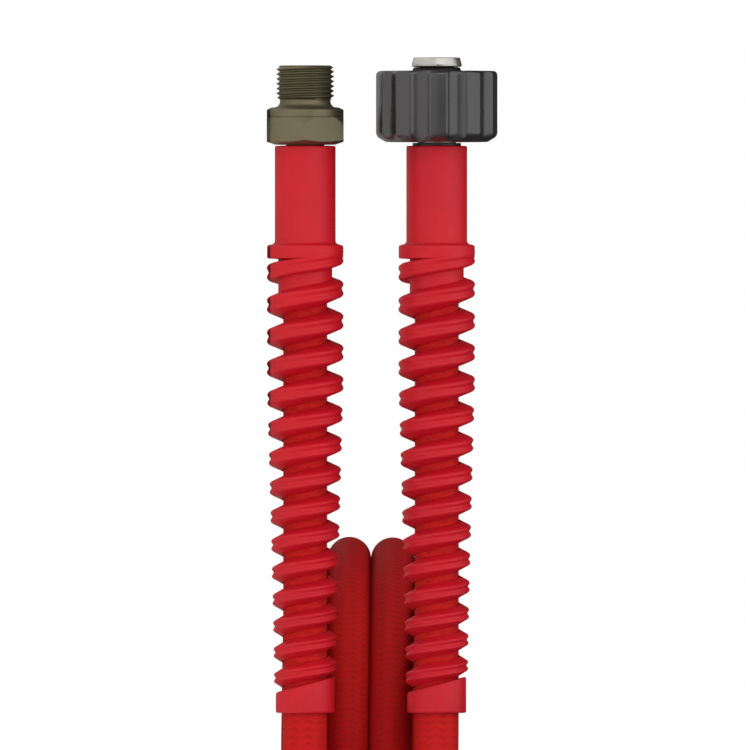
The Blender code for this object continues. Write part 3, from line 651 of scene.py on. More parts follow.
def bight():
    """The middle of the hose: an S across the bore, lying on the ground at its middle."""
    half = COIL_INNER_RADIUS / 2
    ground = hose_seat()
    steps = ceil(pi * half / PATH_STEP)
    branches = []
    for sign in (1, -1):
        top = from_coil(0.0, 0.0, -sign * sizes().hose_diameter / 2).z
        branch = []
        for step in range(1, steps + 1):
            share = step / steps
            turn = BIGHT_AZIMUTH + pi * share
            x = sign * half * (cos(BIGHT_AZIMUTH) + cos(turn))
            y = sign * half * (sin(BIGHT_AZIMUTH) + sin(turn))
            fall = eased((share - BIGHT_START_SHARE) / (1 - BIGHT_START_SHARE))
            height = top + (ground - top) * fall - x * sin(coil_lean()) * (1 - share)
            branch.append(Vector((COIL_CENTRE.x + x, COIL_CENTRE.y + y, height)))
        branches.append(branch)
    return branches[0] + branches[1][-2::-1]


def even_points(points, spacing):
    """The same line with its points spaced evenly."""
    lengths = [0.0]
    for before, after in zip(points, points[1:]):
        lengths.append(lengths[-1] + (after - before).length)
    count = round(lengths[-1] / spacing)
    result = []
    place = 0
    for step in range(count + 1):
        target = lengths[-1] * step / count
        while place < len(points) - 2 and lengths[place + 1] < target:
            place += 1
        share = (target - lengths[place]) / (lengths[place + 1] - lengths[place])
        result.append(points[place].lerp(points[place + 1], share))
    return result, lengths[-1]


def hose_route():
    """The whole centreline, from the male end to the nut end."""
    full = 2 * pi * len(LOWER_CELLS)
    lower_total = full + BIGHT_AZIMUTH + pi / 2
    upper_total = lower_total - pi
    lower = lead(MALE_Z, False) + winding(lower_total, False)
    upper = lead(NUT_Z, True) + winding(upper_total, True)
    return even_points(lower + bight() + upper[::-1], PATH_STEP)


# Kink guards

SLEEVE_RADIUS = 9.5 * MM
SLEEVE_LENGTH = 31.1 * MM
SLEEVE_RISE = 0.2 * MM
GUARD_COLLAR_RADIUS = 11.9 * MM
GUARD_COLLAR_HEIGHT = 3.9 * MM
GUARD_COLLAR_TOP_RISE = 0.2 * MM
GUARD_COLLAR_SLOPE_RISE = 0.75 * MM
GUARD_COLLAR_UNDER_DROP = 0.2 * MM
CORE_RADIUS = 8.44 * MM
CORE_LENGTH = 11.0 * MM
FERRULE_RADIUS = 8.3 * MM
RIB_TOP = SLEEVE_LENGTH + GUARD_COLLAR_HEIGHT + 4.4 * MM
RIB_END_RISE = 2.0 * MM
RIB_END_DROP = 1.0 * MM
RIB_PITCH_TOP = 10.2 * MM
RIB_PITCH_END = 7.9 * MM
RIB_STEPS = 56
RIB_LEAD_IN = 0.75
RIB_RUN_IN = 0.25
RIB_START_WIDTH = 0.3
RIB_LEAD_OUT = 0.5
RIB_PLAIN_TURNS = 3.5
RIB_CROWN_RADII = (12.0 * MM, 9.8 * MM)
RIB_FOOT_WIDTHS = (8.0 * MM, 5.7 * MM)
RIB_CROWN_WIDTHS = (4.7 * MM, 3.3 * MM)
RIB_GROOVE = 0.55 * MM
RIB_EDGE = 0.6 * MM
RIB_LOBE_SHARE = 0.62
RIB_CROWN_SHARES = (1.0, 0.9, 0.77, 0.62, 0.47, 0.31, 0.15)
RIB_STEEP_TURNS = 0.6
RIB_TAPER_POWER = 1.3
RIB_SEAT_GAP = 0.1 * MM
RIB_PHASE = 0.01
RING_RADIUS = 9.2 * MM
RING_HEIGHT = 8.9 * MM
RING_SLANT = 5.0 * MM
GUARD_STEPS = 96


def between(pair, share):
    return pair[0] + (pair[1] - pair[0]) * share


def rib_turns():
    """Whole turns of rib that the guard has room for, and the stretch that fits them to it."""
    run = sizes().guard_length - RING_HEIGHT - RIB_END_RISE - RIB_TOP
    turns = 2 * run / (RIB_PITCH_TOP + RIB_PITCH_END)
    return round(turns), turns / round(turns)


def crown_drop(share):
    """Depth of the crown's surface under its lobes, from its middle (0) to its flank (1)."""
    if share < RIB_LOBE_SHARE:
        return RIB_GROOVE * eased(1 - share / RIB_LOBE_SHARE)
    return RIB_EDGE * ((share - RIB_LOBE_SHARE) / (1 - RIB_LOBE_SHARE)) ** 2


def rib_station(station):
    """The rib's section at a station: sloped flanks and a crown of two round lobes."""
    turns, fit = rib_turns()
    turn = station / RIB_STEPS - RIB_LEAD_IN
    share = min(max(turn / turns, 0.0), 1.0)
    thin = min(max((turn - RIB_PLAIN_TURNS) / (turns - RIB_PLAIN_TURNS), 0.0), 1.0)
    crown_radius = between(RIB_CROWN_RADII, 1 - (1 - thin) ** RIB_TAPER_POWER)
    crown_radius -= eased((turn - turns) / RIB_LEAD_OUT) * RIB_END_DROP
    width = RIB_START_WIDTH + (1 - RIB_START_WIDTH) * eased((turn + RIB_LEAD_IN) / RIB_RUN_IN)
    crown = width * between(RIB_CROWN_WIDTHS, share) / 2
    spread = eased(abs(turn) / RIB_STEEP_TURNS)
    foot = crown + spread * (width * between(RIB_FOOT_WIDTHS, share) / 2 - crown)
    seat = hose_seat() + RIB_SEAT_GAP
    shortening = (RIB_PITCH_TOP - RIB_PITCH_END) / (2 * turns)
    depth = RIB_TOP + fit * (RIB_PITCH_TOP * turn - shortening * turn * turn)
    half = [(seat, foot)]
    half += [(crown_radius - crown_drop(part), crown * part) for part in RIB_CROWN_SHARES]
    outline = half + [(crown_radius - RIB_GROOVE, 0.0)]
    outline += [(radius, -offset) for radius, offset in reversed(half)]
    return around_axis(outline, pi - 2 * pi * turn + RIB_PHASE, -depth)


def sleeve_outline():
    """The sleeve, its collar and the start of the tube under the rib, bored for the ferrule."""
    seat = hose_seat()
    pocket = FERRULE_RADIUS + GAP
    depth = FERRULE_LENGTH + 2 * GAP
    base = SLEEVE_LENGTH + GUARD_COLLAR_HEIGHT
    end = base + CORE_LENGTH
    return rounded([
        (SLEEVE_RADIUS, SLEEVE_RISE, 0.5 * MM),
        (SLEEVE_RADIUS, -SLEEVE_LENGTH + GUARD_COLLAR_SLOPE_RISE, 1.2 * MM),
        (GUARD_COLLAR_RADIUS, -SLEEVE_LENGTH + GUARD_COLLAR_TOP_RISE, 0.75 * MM),
        (GUARD_COLLAR_RADIUS, -base, 0.6 * MM),
        (CORE_RADIUS, -base - GUARD_COLLAR_UNDER_DROP, 0.25 * MM),
        (CORE_RADIUS, -end, 0.5 * MM),
        (seat, -end, 0),
        (seat, -depth, 0),
        (pocket, -depth, 0),
        (pocket, SLEEVE_RISE, 0.15 * MM),
    ], 5)


def end_ring():
    """The ring that closes the rib: turned, with its upper edge slanted along the rib."""
    seat = hose_seat()
    length = sizes().guard_length
    bm = turned(rounded([
        (RING_RADIUS, RING_HEIGHT - length, 0.7 * MM),
        (RING_RADIUS, -length, 0.6 * MM),
        (seat, -length, 0.15 * MM),
        (seat, RING_HEIGHT - length, 0.15 * MM),
    ], 4), GUARD_STEPS)
    middle = RING_HEIGHT / 2 - length
    for vert in bm.verts:
        if vert.co.z > middle:
            vert.co.z += vert.co.x * RING_SLANT / (2 * RING_RADIUS)
    return bm


def guard_mesh():
    """A kink guard: its sleeve and tube, joined with the rib and the end ring."""
    stations = round((RIB_LEAD_IN + rib_turns()[0] + RIB_LEAD_OUT) * RIB_STEPS)
    rib = swept(stations, rib_station)
    core = turned(sleeve_outline(), GUARD_STEPS)
    return combined(core, [(rib, "UNION"), (end_ring(), "UNION")])


# Ferrules

STEM_RADIUS = 6.0 * MM
FERRULE_MALE_RISE = 0.26 * MM
FERRULE_MALE_NECK_RADIUS = FERRULE_RADIUS - GAP
FERRULE_NUT_RISE = 1.1 * MM
FERRULE_NUT_NECK_RADIUS = 7.6 * MM


def ferrule_outline(rise, neck):
    """A crimped ferrule with an end wall around the stem."""
    stem = STEM_RADIUS + GAP
    seat = hose_seat()
    return rounded([
        (neck, rise, 0.15 * MM),
        (neck, -GAP, 0),
        (FERRULE_RADIUS, -2 * GAP, 0.2 * MM),
        (FERRULE_RADIUS, -FERRULE_LENGTH, 0.3 * MM),
        (seat, -FERRULE_LENGTH, 0.1 * MM),
        (seat, -HOSE_END_RECESS, 0),
        (stem, -HOSE_END_RECESS, 0),
        (stem, rise, 0.1 * MM),
    ], 3)


# Male fitting

BORE_RADIUS = 2.5 * MM
HEX_ACROSS_FLATS = 24.0 * MM
HEX_BASE = 0.56 * MM
HEX_HEIGHT = 8.55 * MM
HEX_TOP_CHAMFER = 2.9 * MM
HEX_CHAMFER_START = 12.5 * MM
HEX_FOOT_CHAMFER = 2.6 * MM
HEX_FOOT_RISE = 0.9 * MM
HEX_CORNER_FOOT_RISE = 1.6 * MM
HEX_CORNER_ROOM = 0.3 * MM
HEX_EDGE_BEVEL = 0.12 * MM
HEX_HOLE_RADIUS = 5.0 * MM
HEX_SHARP_EDGE = radians(26)
COLLAR_HEIGHT = 3.1 * MM
COLLAR_CHAMFER_WIDTH = 1.5 * MM
COLLAR_CHAMFER_HEIGHT = 0.75 * MM
COLLAR_UNDERCUT = 0.35 * MM
COLLAR_UNDERCUT_RISE = 0.12 * MM
COLLAR_UNDERCUT_DROP = 0.05 * MM
NECK_RADIUS = 7.92 * MM
NECK_HEIGHT = 2.9 * MM
NECK_FOOT_RISE = 0.1 * MM
THREAD_RADIUS = 9.0 * MM
THREAD_DEPTH = 0.92 * MM
THREAD_LENGTH = 10.2 * MM
THREAD_TIP_CHAMFER_WIDTH = 1.0 * MM
THREAD_TIP_CHAMFER_HEIGHT = 0.8 * MM
THREAD_FOOT_RISE = 0.3 * MM
THREAD_FOOT_DROP = 0.5 * MM
THREAD_CREST_HEIGHT = 24.1 * MM
THREAD_STEPS = 64
THREAD_TURNS_PAST_TIP = 0.5
THREAD_TURNS_INTO_NECK = 0.2
THREAD_ROOT_SHARE = 0.06
THREAD_OPEN_SHARE = 0.485
THREAD_CUT_ROOM = 0.12 * MM
THREAD_PHASE = 0.005
SEAT_RADIUS = 5.0 * MM
FITTING_STEPS = 128


def fitting_form():
    """Stem, collar, neck, thread blank and bore, turned in one."""
    collar_base = HEX_BASE + HEX_HEIGHT
    collar_top = collar_base + COLLAR_HEIGHT
    neck_top = collar_top + NECK_HEIGHT
    tip = neck_top + THREAD_LENGTH
    collar = HEX_ACROSS_FLATS / 2
    inside = HEX_BASE + HEX_HEIGHT / 2
    seat_depth = (SEAT_RADIUS - BORE_RADIUS) * sqrt(3)
    return turned(rounded([
        (THREAD_RADIUS - THREAD_TIP_CHAMFER_WIDTH, tip, 0.1 * MM),
        (THREAD_RADIUS, tip - THREAD_TIP_CHAMFER_HEIGHT, 0),
        (THREAD_RADIUS, neck_top + THREAD_FOOT_RISE, 0),
        (NECK_RADIUS, neck_top - THREAD_FOOT_DROP, 0.2 * MM),
        (NECK_RADIUS, collar_top + NECK_FOOT_RISE, 1.8 * MM),
        (collar - COLLAR_CHAMFER_WIDTH, collar_top, 0.3 * MM),
        (collar, collar_top - COLLAR_CHAMFER_HEIGHT, 0.25 * MM),
        (collar, collar_base + COLLAR_UNDERCUT_RISE, 0.08 * MM),
        (collar - COLLAR_UNDERCUT, collar_base - COLLAR_UNDERCUT_DROP, 0),
        (collar - COLLAR_UNDERCUT, inside, 0),
        (STEM_RADIUS, inside, 0),
        (STEM_RADIUS, -HOSE_END_RECESS, 0.1 * MM),
        (BORE_RADIUS, -HOSE_END_RECESS, 0),
        (BORE_RADIUS, tip - seat_depth, 0),
        (SEAT_RADIUS, tip, 0.1 * MM),
    ], 5), FITTING_STEPS)


def hexagon_form():
    """The hexagonal prism, a corner to the front and a flat to the ground."""
    bm = bmesh.new()
    corner = HEX_ACROSS_FLATS / sqrt(3)
    place = Matrix.Translation((0, 0, HEX_BASE + HEX_HEIGHT / 2)) @ Matrix.Rotation(pi / 3, 4, "Z")
    bmesh.ops.create_cone(bm, cap_ends=True, segments=6, radius1=corner, radius2=corner,
                          depth=HEX_HEIGHT, matrix=place)
    corners = [edge for edge in bm.edges if abs(edge.verts[0].co.z - edge.verts[1].co.z) > MM]
    bmesh.ops.bevel(bm, geom=corners, offset=HEX_EDGE_BEVEL, offset_type="OFFSET", segments=2,
                    profile=0.5, affect="EDGES", material=-1)
    return bm


def hexagon_chamfer():
    """The turned form that takes the corners off both ends of the hexagon."""
    apothem = HEX_ACROSS_FLATS / 2
    corner = HEX_ACROSS_FLATS / sqrt(3) + HEX_CORNER_ROOM
    top = HEX_BASE + HEX_HEIGHT
    return turned(rounded([
        (HEX_CHAMFER_START, top, 0),
        (corner, top - HEX_TOP_CHAMFER, 0),
        (corner, HEX_BASE + HEX_CORNER_FOOT_RISE, 0),
        (apothem, HEX_BASE + HEX_FOOT_RISE, 0.2 * MM),
        (apothem - HEX_FOOT_CHAMFER, HEX_BASE, 0.1 * MM),
        (HEX_HOLE_RADIUS, HEX_BASE, 0),
        (HEX_HOLE_RADIUS, top, 0),
    ], 3), FITTING_STEPS)


def thread_groove():
    """The V groove of the thread, which runs out past the tip and into the neck."""
    pitch = sizes().thread_pitch
    neck_top = HEX_BASE + HEX_HEIGHT + COLLAR_HEIGHT + NECK_HEIGHT
    tip = neck_top + THREAD_LENGTH
    crests = ceil((tip - THREAD_CREST_HEIGHT) / pitch) + THREAD_TURNS_PAST_TIP
    top = THREAD_CREST_HEIGHT + crests * pitch
    turns = (top - neck_top) / pitch + THREAD_TURNS_INTO_NECK
    root = THREAD_RADIUS - THREAD_DEPTH
    past = THREAD_RADIUS + THREAD_CUT_ROOM
    root_half = THREAD_ROOT_SHARE * pitch
    open_half = THREAD_OPEN_SHARE * pitch
    outline = ((root, root_half), (past, open_half), (past, -open_half), (root, -root_half))

    def station_points(station):
        turn = station / THREAD_STEPS
        return around_axis(outline, pi - 2 * pi * turn + THREAD_PHASE, top - pitch * turn)

    return swept(round(turns * THREAD_STEPS), station_points)


def fitting_mesh():
    """The male fitting, with its thread cut and its chamfered hexagon joined on."""
    hexagon = combined(hexagon_form(), [(hexagon_chamfer(), "INTERSECT")])
    core = bmesh.new()
    core.from_mesh(hexagon)
    bpy.data.meshes.remove(hexagon)
    return combined(fitting_form(), [(thread_groove(), "DIFFERENCE"), (core, "UNION")], HEX_SHARP_EDGE)


# Spigot, O-ring and hand nut

NUT_BASE = 1.4 * MM
NUT_HEIGHT = 22.2 * MM
NUT_FLOOR = 4.8 * MM
NUT_LIP = 1.7 * MM
NUT_FOOT_CHAMFER_WIDTH = 3.2 * MM
NUT_FOOT_CHAMFER_HEIGHT = 1.8 * MM
NUT_MOUTH_RADIUS = 10.9 * MM
NUT_FLUTE_HALF_ANGLE = radians(9.8)
NUT_FLUTE_DEPTH = 1.7 * MM
NUT_LOBE_TURN = radians(1.6)
NUT_LOBE_FLATNESS = 0.35
NUT_LOBE_SOFTNESS = 0.25 * MM
NUT_WALL_ROOM = 1.6 * MM
NUT_SHARP_EDGE = radians(42)
NUT_STEPS = 360
INSERT_RADIUS = 13.0 * MM
INSERT_BORE_RADIUS = 10.2 * MM
INSERT_FLOOR = 3.0 * MM
INSERT_MOUTH_CHAMFER = 0.9 * MM
INSERT_THREAD_DEPTH = 0.8 * MM
INSERT_THREAD_ROOM = 0.2 * MM
INSERT_THREAD_ROOT_SHARE = 0.08
INSERT_THREAD_OPEN_SHARE = 0.5
INSERT_TURNS_PAST_MOUTH = 0.9
INSERT_TURNS_SHORT = 0.4
SPIN_CLEARANCE = 0.5 * MM
SPIGOT_RADIUS = 7.8 * MM
SPIGOT_TIP_RADIUS = 7.25 * MM
SPIGOT_TIP_HEIGHT = 2.9 * MM
SPIGOT_LAND_TOP = 0.8 * MM
SPIGOT_LAND_FOOT = 0.2 * MM
SPIGOT_LAND_INSET = 0.25 * MM
SPIGOT_STAND_OUT = 4.2 * MM
SPIGOT_FLANGE_RADIUS = 9.6 * MM
SPIGOT_FLANGE_HEIGHT = 2.2 * MM
SPIGOT_TIP = NUT_BASE + NUT_HEIGHT + SPIGOT_STAND_OUT
SPIGOT_STEPS = 128
O_RING_RADIUS = 6.6 * MM
O_RING_SECTION = 1.0 * MM
O_RING_ROOM = 1.3 * MM
O_RING_DROP = 0.1 * MM
O_RING_SECTION_STEPS = 20


def spigot_form():
    """The bright spigot: tip cone, O-ring groove, shank, flange and stem."""
    cone_base = SPIGOT_TIP - SPIGOT_TIP_HEIGHT
    groove = O_RING_RADIUS - O_RING_ROOM
    flange = NUT_BASE + NUT_FLOOR + INSERT_FLOOR + 2 * GAP
    return turned(rounded([
        (SPIGOT_TIP_RADIUS, SPIGOT_TIP, 0.35 * MM),
        (SPIGOT_RADIUS, cone_base + SPIGOT_LAND_TOP, 0.5 * MM),
        (SPIGOT_RADIUS, cone_base + SPIGOT_LAND_FOOT, 0.15 * MM),
        (SPIGOT_RADIUS - SPIGOT_LAND_INSET, cone_base, 0.08 * MM),
        (groove, cone_base, 0.1 * MM),
        (groove, cone_base - 2 * O_RING_ROOM, 0.1 * MM),
        (SPIGOT_RADIUS, cone_base - 2 * O_RING_ROOM, 0.15 * MM),
        (SPIGOT_RADIUS, flange + SPIGOT_FLANGE_HEIGHT, 0.3 * MM),
        (SPIGOT_FLANGE_RADIUS, flange + SPIGOT_FLANGE_HEIGHT, 0.2 * MM),
        (SPIGOT_FLANGE_RADIUS, flange, 0.2 * MM),
        (STEM_RADIUS, flange, 0.2 * MM),
        (STEM_RADIUS, -HOSE_END_RECESS, 0.1 * MM),
        (BORE_RADIUS, -HOSE_END_RECESS, 0),
        (BORE_RADIUS, SPIGOT_TIP, 0.3 * MM),
    ], 4), SPIGOT_STEPS)


def o_ring_form():
    """The O-ring, seated at the top of its groove."""
    centre = SPIGOT_TIP - SPIGOT_TIP_HEIGHT - O_RING_SECTION - O_RING_DROP
    section = arc(O_RING_RADIUS, centre, O_RING_SECTION, 2 * pi, 0.0, O_RING_SECTION_STEPS)[:-1]
    return turned(section, SPIGOT_STEPS)


def insert_mesh():
    """The threaded insert: a floor around the stem, and a thread cut into its bore."""
    base = NUT_BASE + NUT_FLOOR + GAP
    floor_top = base + INSERT_FLOOR
    top = NUT_BASE + NUT_HEIGHT - NUT_LIP - GAP
    hole = STEM_RADIUS + SPIN_CLEARANCE
    blank = turned(rounded([
        (INSERT_RADIUS, top, 0.2 * MM),
        (INSERT_RADIUS, base, 0.2 * MM),
        (hole, base, 0.1 * MM),
        (hole, floor_top, 0.1 * MM),
        (INSERT_BORE_RADIUS, floor_top, 0.1 * MM),
        (INSERT_BORE_RADIUS, top - INSERT_MOUTH_CHAMFER, 0),
        (INSERT_BORE_RADIUS + INSERT_MOUTH_CHAMFER, top, 0.1 * MM),
    ], 3), SPIGOT_STEPS)
    pitch = sizes().thread_pitch
    turns = (top - floor_top) / pitch - INSERT_TURNS_SHORT
    start = top + INSERT_TURNS_PAST_MOUTH * pitch
    root = INSERT_BORE_RADIUS + INSERT_THREAD_DEPTH
    inner = INSERT_BORE_RADIUS - INSERT_THREAD_ROOM
    root_half = INSERT_THREAD_ROOT_SHARE * pitch
    open_half = INSERT_THREAD_OPEN_SHARE * pitch
    outline = ((inner, open_half), (root, root_half), (root, -root_half), (inner, -open_half))

    def station_points(station):
        turn = station / THREAD_STEPS
        return around_axis(outline, -2 * pi * turn, start - pitch * turn)

    groove = swept(round(turns * THREAD_STEPS), station_points)
    return combined(blank, [(groove, "DIFFERENCE")])


def lobe_reach(angle):
    """Radius of the nut's fluted outline at an angle, with softened lobe edges."""
    radius = sizes().nut_radius
    step = 2 * pi / sizes().nut_lobes
    offset = abs((angle - NUT_LOBE_TURN - pi / 2 + step / 2) % step - step / 2)
    from_flute = step / 2 - offset
    half_chord = radius * sin(NUT_FLUTE_HALF_ANGLE)
    depth = NUT_FLUTE_DEPTH - radius * (1 - cos(NUT_FLUTE_HALF_ANGLE))
    flute = (half_chord ** 2 + depth ** 2) / (2 * depth)
    centre = radius - NUT_FLUTE_DEPTH + flute
    side = centre * sin(from_flute)
    cut = radius
    if side < flute:
        cut = centre * cos(from_flute) - sqrt(flute ** 2 - side ** 2)
    flat = radius * (1 - NUT_LOBE_FLATNESS * (1 - cos(offset)))
    blend = max(1 - abs(cut - flat) / NUT_LOBE_SOFTNESS, 0.0)
    return min(cut, flat) - blend * blend * NUT_LOBE_SOFTNESS / 4


def nut_mesh():
    """The plastic grip: a turned blank whose outer side is drawn in to the fluted outline."""
    top = NUT_BASE + NUT_HEIGHT
    radius = sizes().nut_radius
    pocket = INSERT_RADIUS + GAP
    floor_top = NUT_BASE + NUT_FLOOR
    hole = STEM_RADIUS + SPIN_CLEARANCE + GAP
    outline = rounded([
        (radius, top, 1.35 * MM),
        (radius, NUT_BASE + NUT_FOOT_CHAMFER_HEIGHT, 2.2 * MM),
        (radius - NUT_FOOT_CHAMFER_WIDTH, NUT_BASE, 2.2 * MM),
        (hole, NUT_BASE, 0.2 * MM),
        (hole, floor_top, 0),
        (pocket, floor_top, 0),
        (pocket, top - NUT_LIP, 0),
        (NUT_MOUTH_RADIUS, top - NUT_LIP, 0.1 * MM),
        (NUT_MOUTH_RADIUS, top, 0.6 * MM),
    ], 6)
    bm = turned(outline, NUT_STEPS)
    inner = radius - NUT_FLUTE_DEPTH - NUT_WALL_ROOM
    for vert in bm.verts:
        reach = Vector(vert.co.xy).length
        if reach <= inner:
            continue
        share = (reach - inner) / (radius - inner)
        drawn = lobe_reach(atan2(vert.co.y, vert.co.x))
        target = inner + share * (drawn - inner)
        vert.co.x *= target / reach
        vert.co.y *= target / reach
    return mesh_from(bm, "grip_nut", NUT_SHARP_EDGE)


# Ties

TIE_WIDTH = 16.0 * MM
TIE_THICKNESS = 1.5 * MM
TIE_TAIL = 34.0 * MM
TIE_TAIL_THICKNESS = 0.85 * TIE_THICKNESS
TIE_TAIL_SINK = 0.1 * MM
TIE_TAIL_CORNER = 3.0 * MM
TIE_HALF_BAND = TIE_WIDTH / 2 - 0.35 * MM
TIE_SLACK = 0.05 * MM
TIE_CORNER_STEPS = 10


def tie_loop(offset):
    """A loop around the coil's section at an offset from the hoses, as (r, z) points."""
    hose_radius = sizes().hose_diameter / 2
    slack = (TIE_WIDTH / 2) ** 2 / (2 * (COIL_INNER_RADIUS - hose_radius))
    half = TOP_LAYER * sizes().hose_diameter
    outer = COIL_OUTER_RADIUS
    inner = COIL_INNER_RADIUS - slack
    points = []
    for index, (r, z) in enumerate(((outer, half), (inner, half), (inner, -half), (outer, -half))):
        start = index * pi / 2
        points += arc(r, z, hose_radius + offset, start, start + pi / 2, TIE_CORNER_STEPS)
    return points


def across(edge):
    """Whether an edge of the lapped end runs through its thickness."""
    return abs(edge.verts[0].co.x - edge.verts[1].co.x) > TIE_TAIL_THICKNESS / 2


def tie_form():
    """The strap: a band round the coil, with its loose end lapped on the outer side."""
    bm = bmesh.new()
    inside = tie_loop(GAP + TIE_SLACK)
    outside = tie_loop(GAP + TIE_THICKNESS)
    rows = ((inside, -TIE_HALF_BAND), (inside, TIE_HALF_BAND),
            (outside, TIE_HALF_BAND), (outside, -TIE_HALF_BAND))
    loops = []
    for points, width in rows:
        verts = [bm.verts.new((r, width, z)) for r, z in points]
        loops.append([bm.edges.new(pair) for pair in zip(verts, verts[1:] + verts[:1])])
    for first in (0, 2):
        bmesh.ops.bridge_loops(bm, edges=loops[first] + loops[first + 1])
        bmesh.ops.triangle_fill(bm, edges=loops[first - 1] + loops[first], use_beauty=True)
    top = COIL_OUTER_RADIUS + hose_seat() + TIE_THICKNESS - TIE_TAIL_SINK
    place = Matrix.Translation((top + TIE_TAIL_THICKNESS / 2, 0, 0))
    place = place @ Matrix.Diagonal((TIE_TAIL_THICKNESS, 2 * TIE_HALF_BAND, TIE_TAIL, 1))
    lap = bmesh.ops.create_cube(bm, size=1.0, matrix=place)["verts"]
    edges = [edge for edge in bm.edges if edge.verts[0] in lap and across(edge)]
    bmesh.ops.bevel(bm, geom=edges, offset=TIE_TAIL_CORNER, offset_type="OFFSET", segments=6,
                    profile=0.5, affect="EDGES", material=-1)
    bmesh.ops.recalc_face_normals(bm, faces=bm.faces)
    return bm


# Hose

HOSE_SIDES = 32
HOSE_SHARP_EDGE = radians(50)


def hose_mesh(points, material):
    """The hose's tube along its route, with its texture map along and around it."""
    curve = bpy.data.curves.new("hose", "CURVE")
    curve.dimensions = "3D"
    curve.bevel_depth = sizes().hose_diameter / 2 / cos(pi / HOSE_SIDES)
    curve.bevel_resolution = HOSE_SIDES // 2 - 2
    curve.use_fill_caps = True
    spline = curve.splines.new("POLY")
    spline.points.add(len(points) - 1)
    for point, place in zip(spline.points, points):
        point.co = (*place, 1.0)
    holder = bpy.data.objects.new("hose_curve", curve)
    bpy.context.scene.collection.objects.link(holder)
    bpy.context.view_layer.update()
    depsgraph = bpy.context.evaluated_depsgraph_get()
    mesh = bpy.data.meshes.new_from_object(holder.evaluated_get(depsgraph))
    bpy.data.objects.remove(holder, do_unlink=True)
    bpy.data.curves.remove(curve)
    bm = bmesh.new()
    bm.from_mesh(mesh)
    bmesh.ops.remove_doubles(bm, verts=bm.verts, dist=MERGE_DISTANCE)
    bm.to_mesh(mesh)
    bm.free()
    mesh.name = "hose"
    mesh.shade_smooth()
    mesh.set_sharp_from_angle(angle=HOSE_SHARP_EDGE)
    return add_mesh("hose", mesh, material)


# Studio

FLOOR_HALF_SIZE = 6.0
FLOOR_EDGE_ON = (0.95, 0.985)
FRONT_GLOW = 0.36
BACK_GLOW = 0.06
GLOW_REACH = (-1.0, 0.3)
CAMERA_LENS = 1500.0
CAMERA_SENSOR = 36.0


def floor_board():
    """A plain pale floor."""
    material, nodes, links, shader = new_material("studio_floor", FLOOR_WHITE, roughness=0.6)
    grain = grain_node(nodes, links, object_coordinates(nodes), fine=90.0, broad=3.0)
    feed_colour(nodes, links, shader, grain.outputs["Mottle"], *FLOOR_SHADES)
    facing = nodes.new("ShaderNodeLayerWeight").outputs["Facing"]
    edge_on = nodes.new("ShaderNodeMapRange")
    edge_on.interpolation_type = "SMOOTHSTEP"
    edge_on.inputs["From Min"].default_value = FLOOR_EDGE_ON[0]
    edge_on.inputs["From Max"].default_value = FLOOR_EDGE_ON[1]
    links.new(facing, edge_on.inputs["Value"])
    seen = nodes.new("ShaderNodeLightPath").outputs["Is Camera Ray"]
    share = math_node(nodes, links, "MULTIPLY", edge_on.outputs["Result"], seen)
    glow = nodes.new("ShaderNodeEmission")
    blend = nodes.new("ShaderNodeMixShader")
    links.new(share, blend.inputs["Fac"])
    links.new(shader.outputs["BSDF"], blend.inputs[1])
    links.new(glow.outputs["Emission"], blend.inputs[2])
    links.new(blend.outputs["Shader"], nodes["Material Output"].inputs["Surface"])
    bm = bmesh.new()
    bmesh.ops.create_grid(bm, x_segments=4, y_segments=4, size=FLOOR_HALF_SIZE)
    add_mesh("floor", mesh_from(bm, "floor"), material)


def studio_world():
    """A surround that glows from the camera's side and is dim behind, but looks white itself."""
    world = bpy.data.worlds.new("studio")
    world.use_nodes = True
    nodes, links = world.node_tree.nodes, world.node_tree.links
    background = nodes["Background"]
    background.inputs["Color"].default_value = (1.0, 1.0, 1.0, 1.0)
    seen = nodes.new("ShaderNodeLightPath").outputs["Is Camera Ray"]
    split = nodes.new("ShaderNodeSeparateXYZ")
    links.new(nodes.new("ShaderNodeTexCoord").outputs["Generated"], split.inputs["Vector"])
    glow = nodes.new("ShaderNodeMapRange")
    glow.inputs["From Min"].default_value = GLOW_REACH[0]
    glow.inputs["From Max"].default_value = GLOW_REACH[1]
    glow.inputs["To Min"].default_value = FRONT_GLOW
    glow.inputs["To Max"].default_value = BACK_GLOW
    links.new(split.outputs["Y"], glow.inputs["Value"])
    strength = math_node(nodes, links, "MAXIMUM", glow.outputs["Result"], seen)
    links.new(strength, background.inputs["Strength"])
    bpy.context.scene.world = world
    bpy.context.scene.view_settings.view_transform = "Standard"


def from_ends(x, y, z):
    """A place measured from the hose ends, at a height over the floor."""
    return END_X + x, END_Y + y, z


def softbox(name, location, target, width, height, power, mirrored=True):
    """A rectangular soft light aimed at a point, which shiny pieces mirror unless told not to."""
    light = bpy.data.lights.new(name, "AREA")
    light.shape = "RECTANGLE"
    light.size = width
    light.size_y = height
    light.energy = power
    lamp = bpy.data.objects.new(name, light)
    lamp.visible_camera = False
    lamp.visible_glossy = mirrored
    lamp.location = location
    aim = Vector(target) - Vector(location)
    lamp.rotation_euler = aim.to_track_quat("-Z", "Y").to_euler()
    bpy.context.scene.collection.objects.link(lamp)


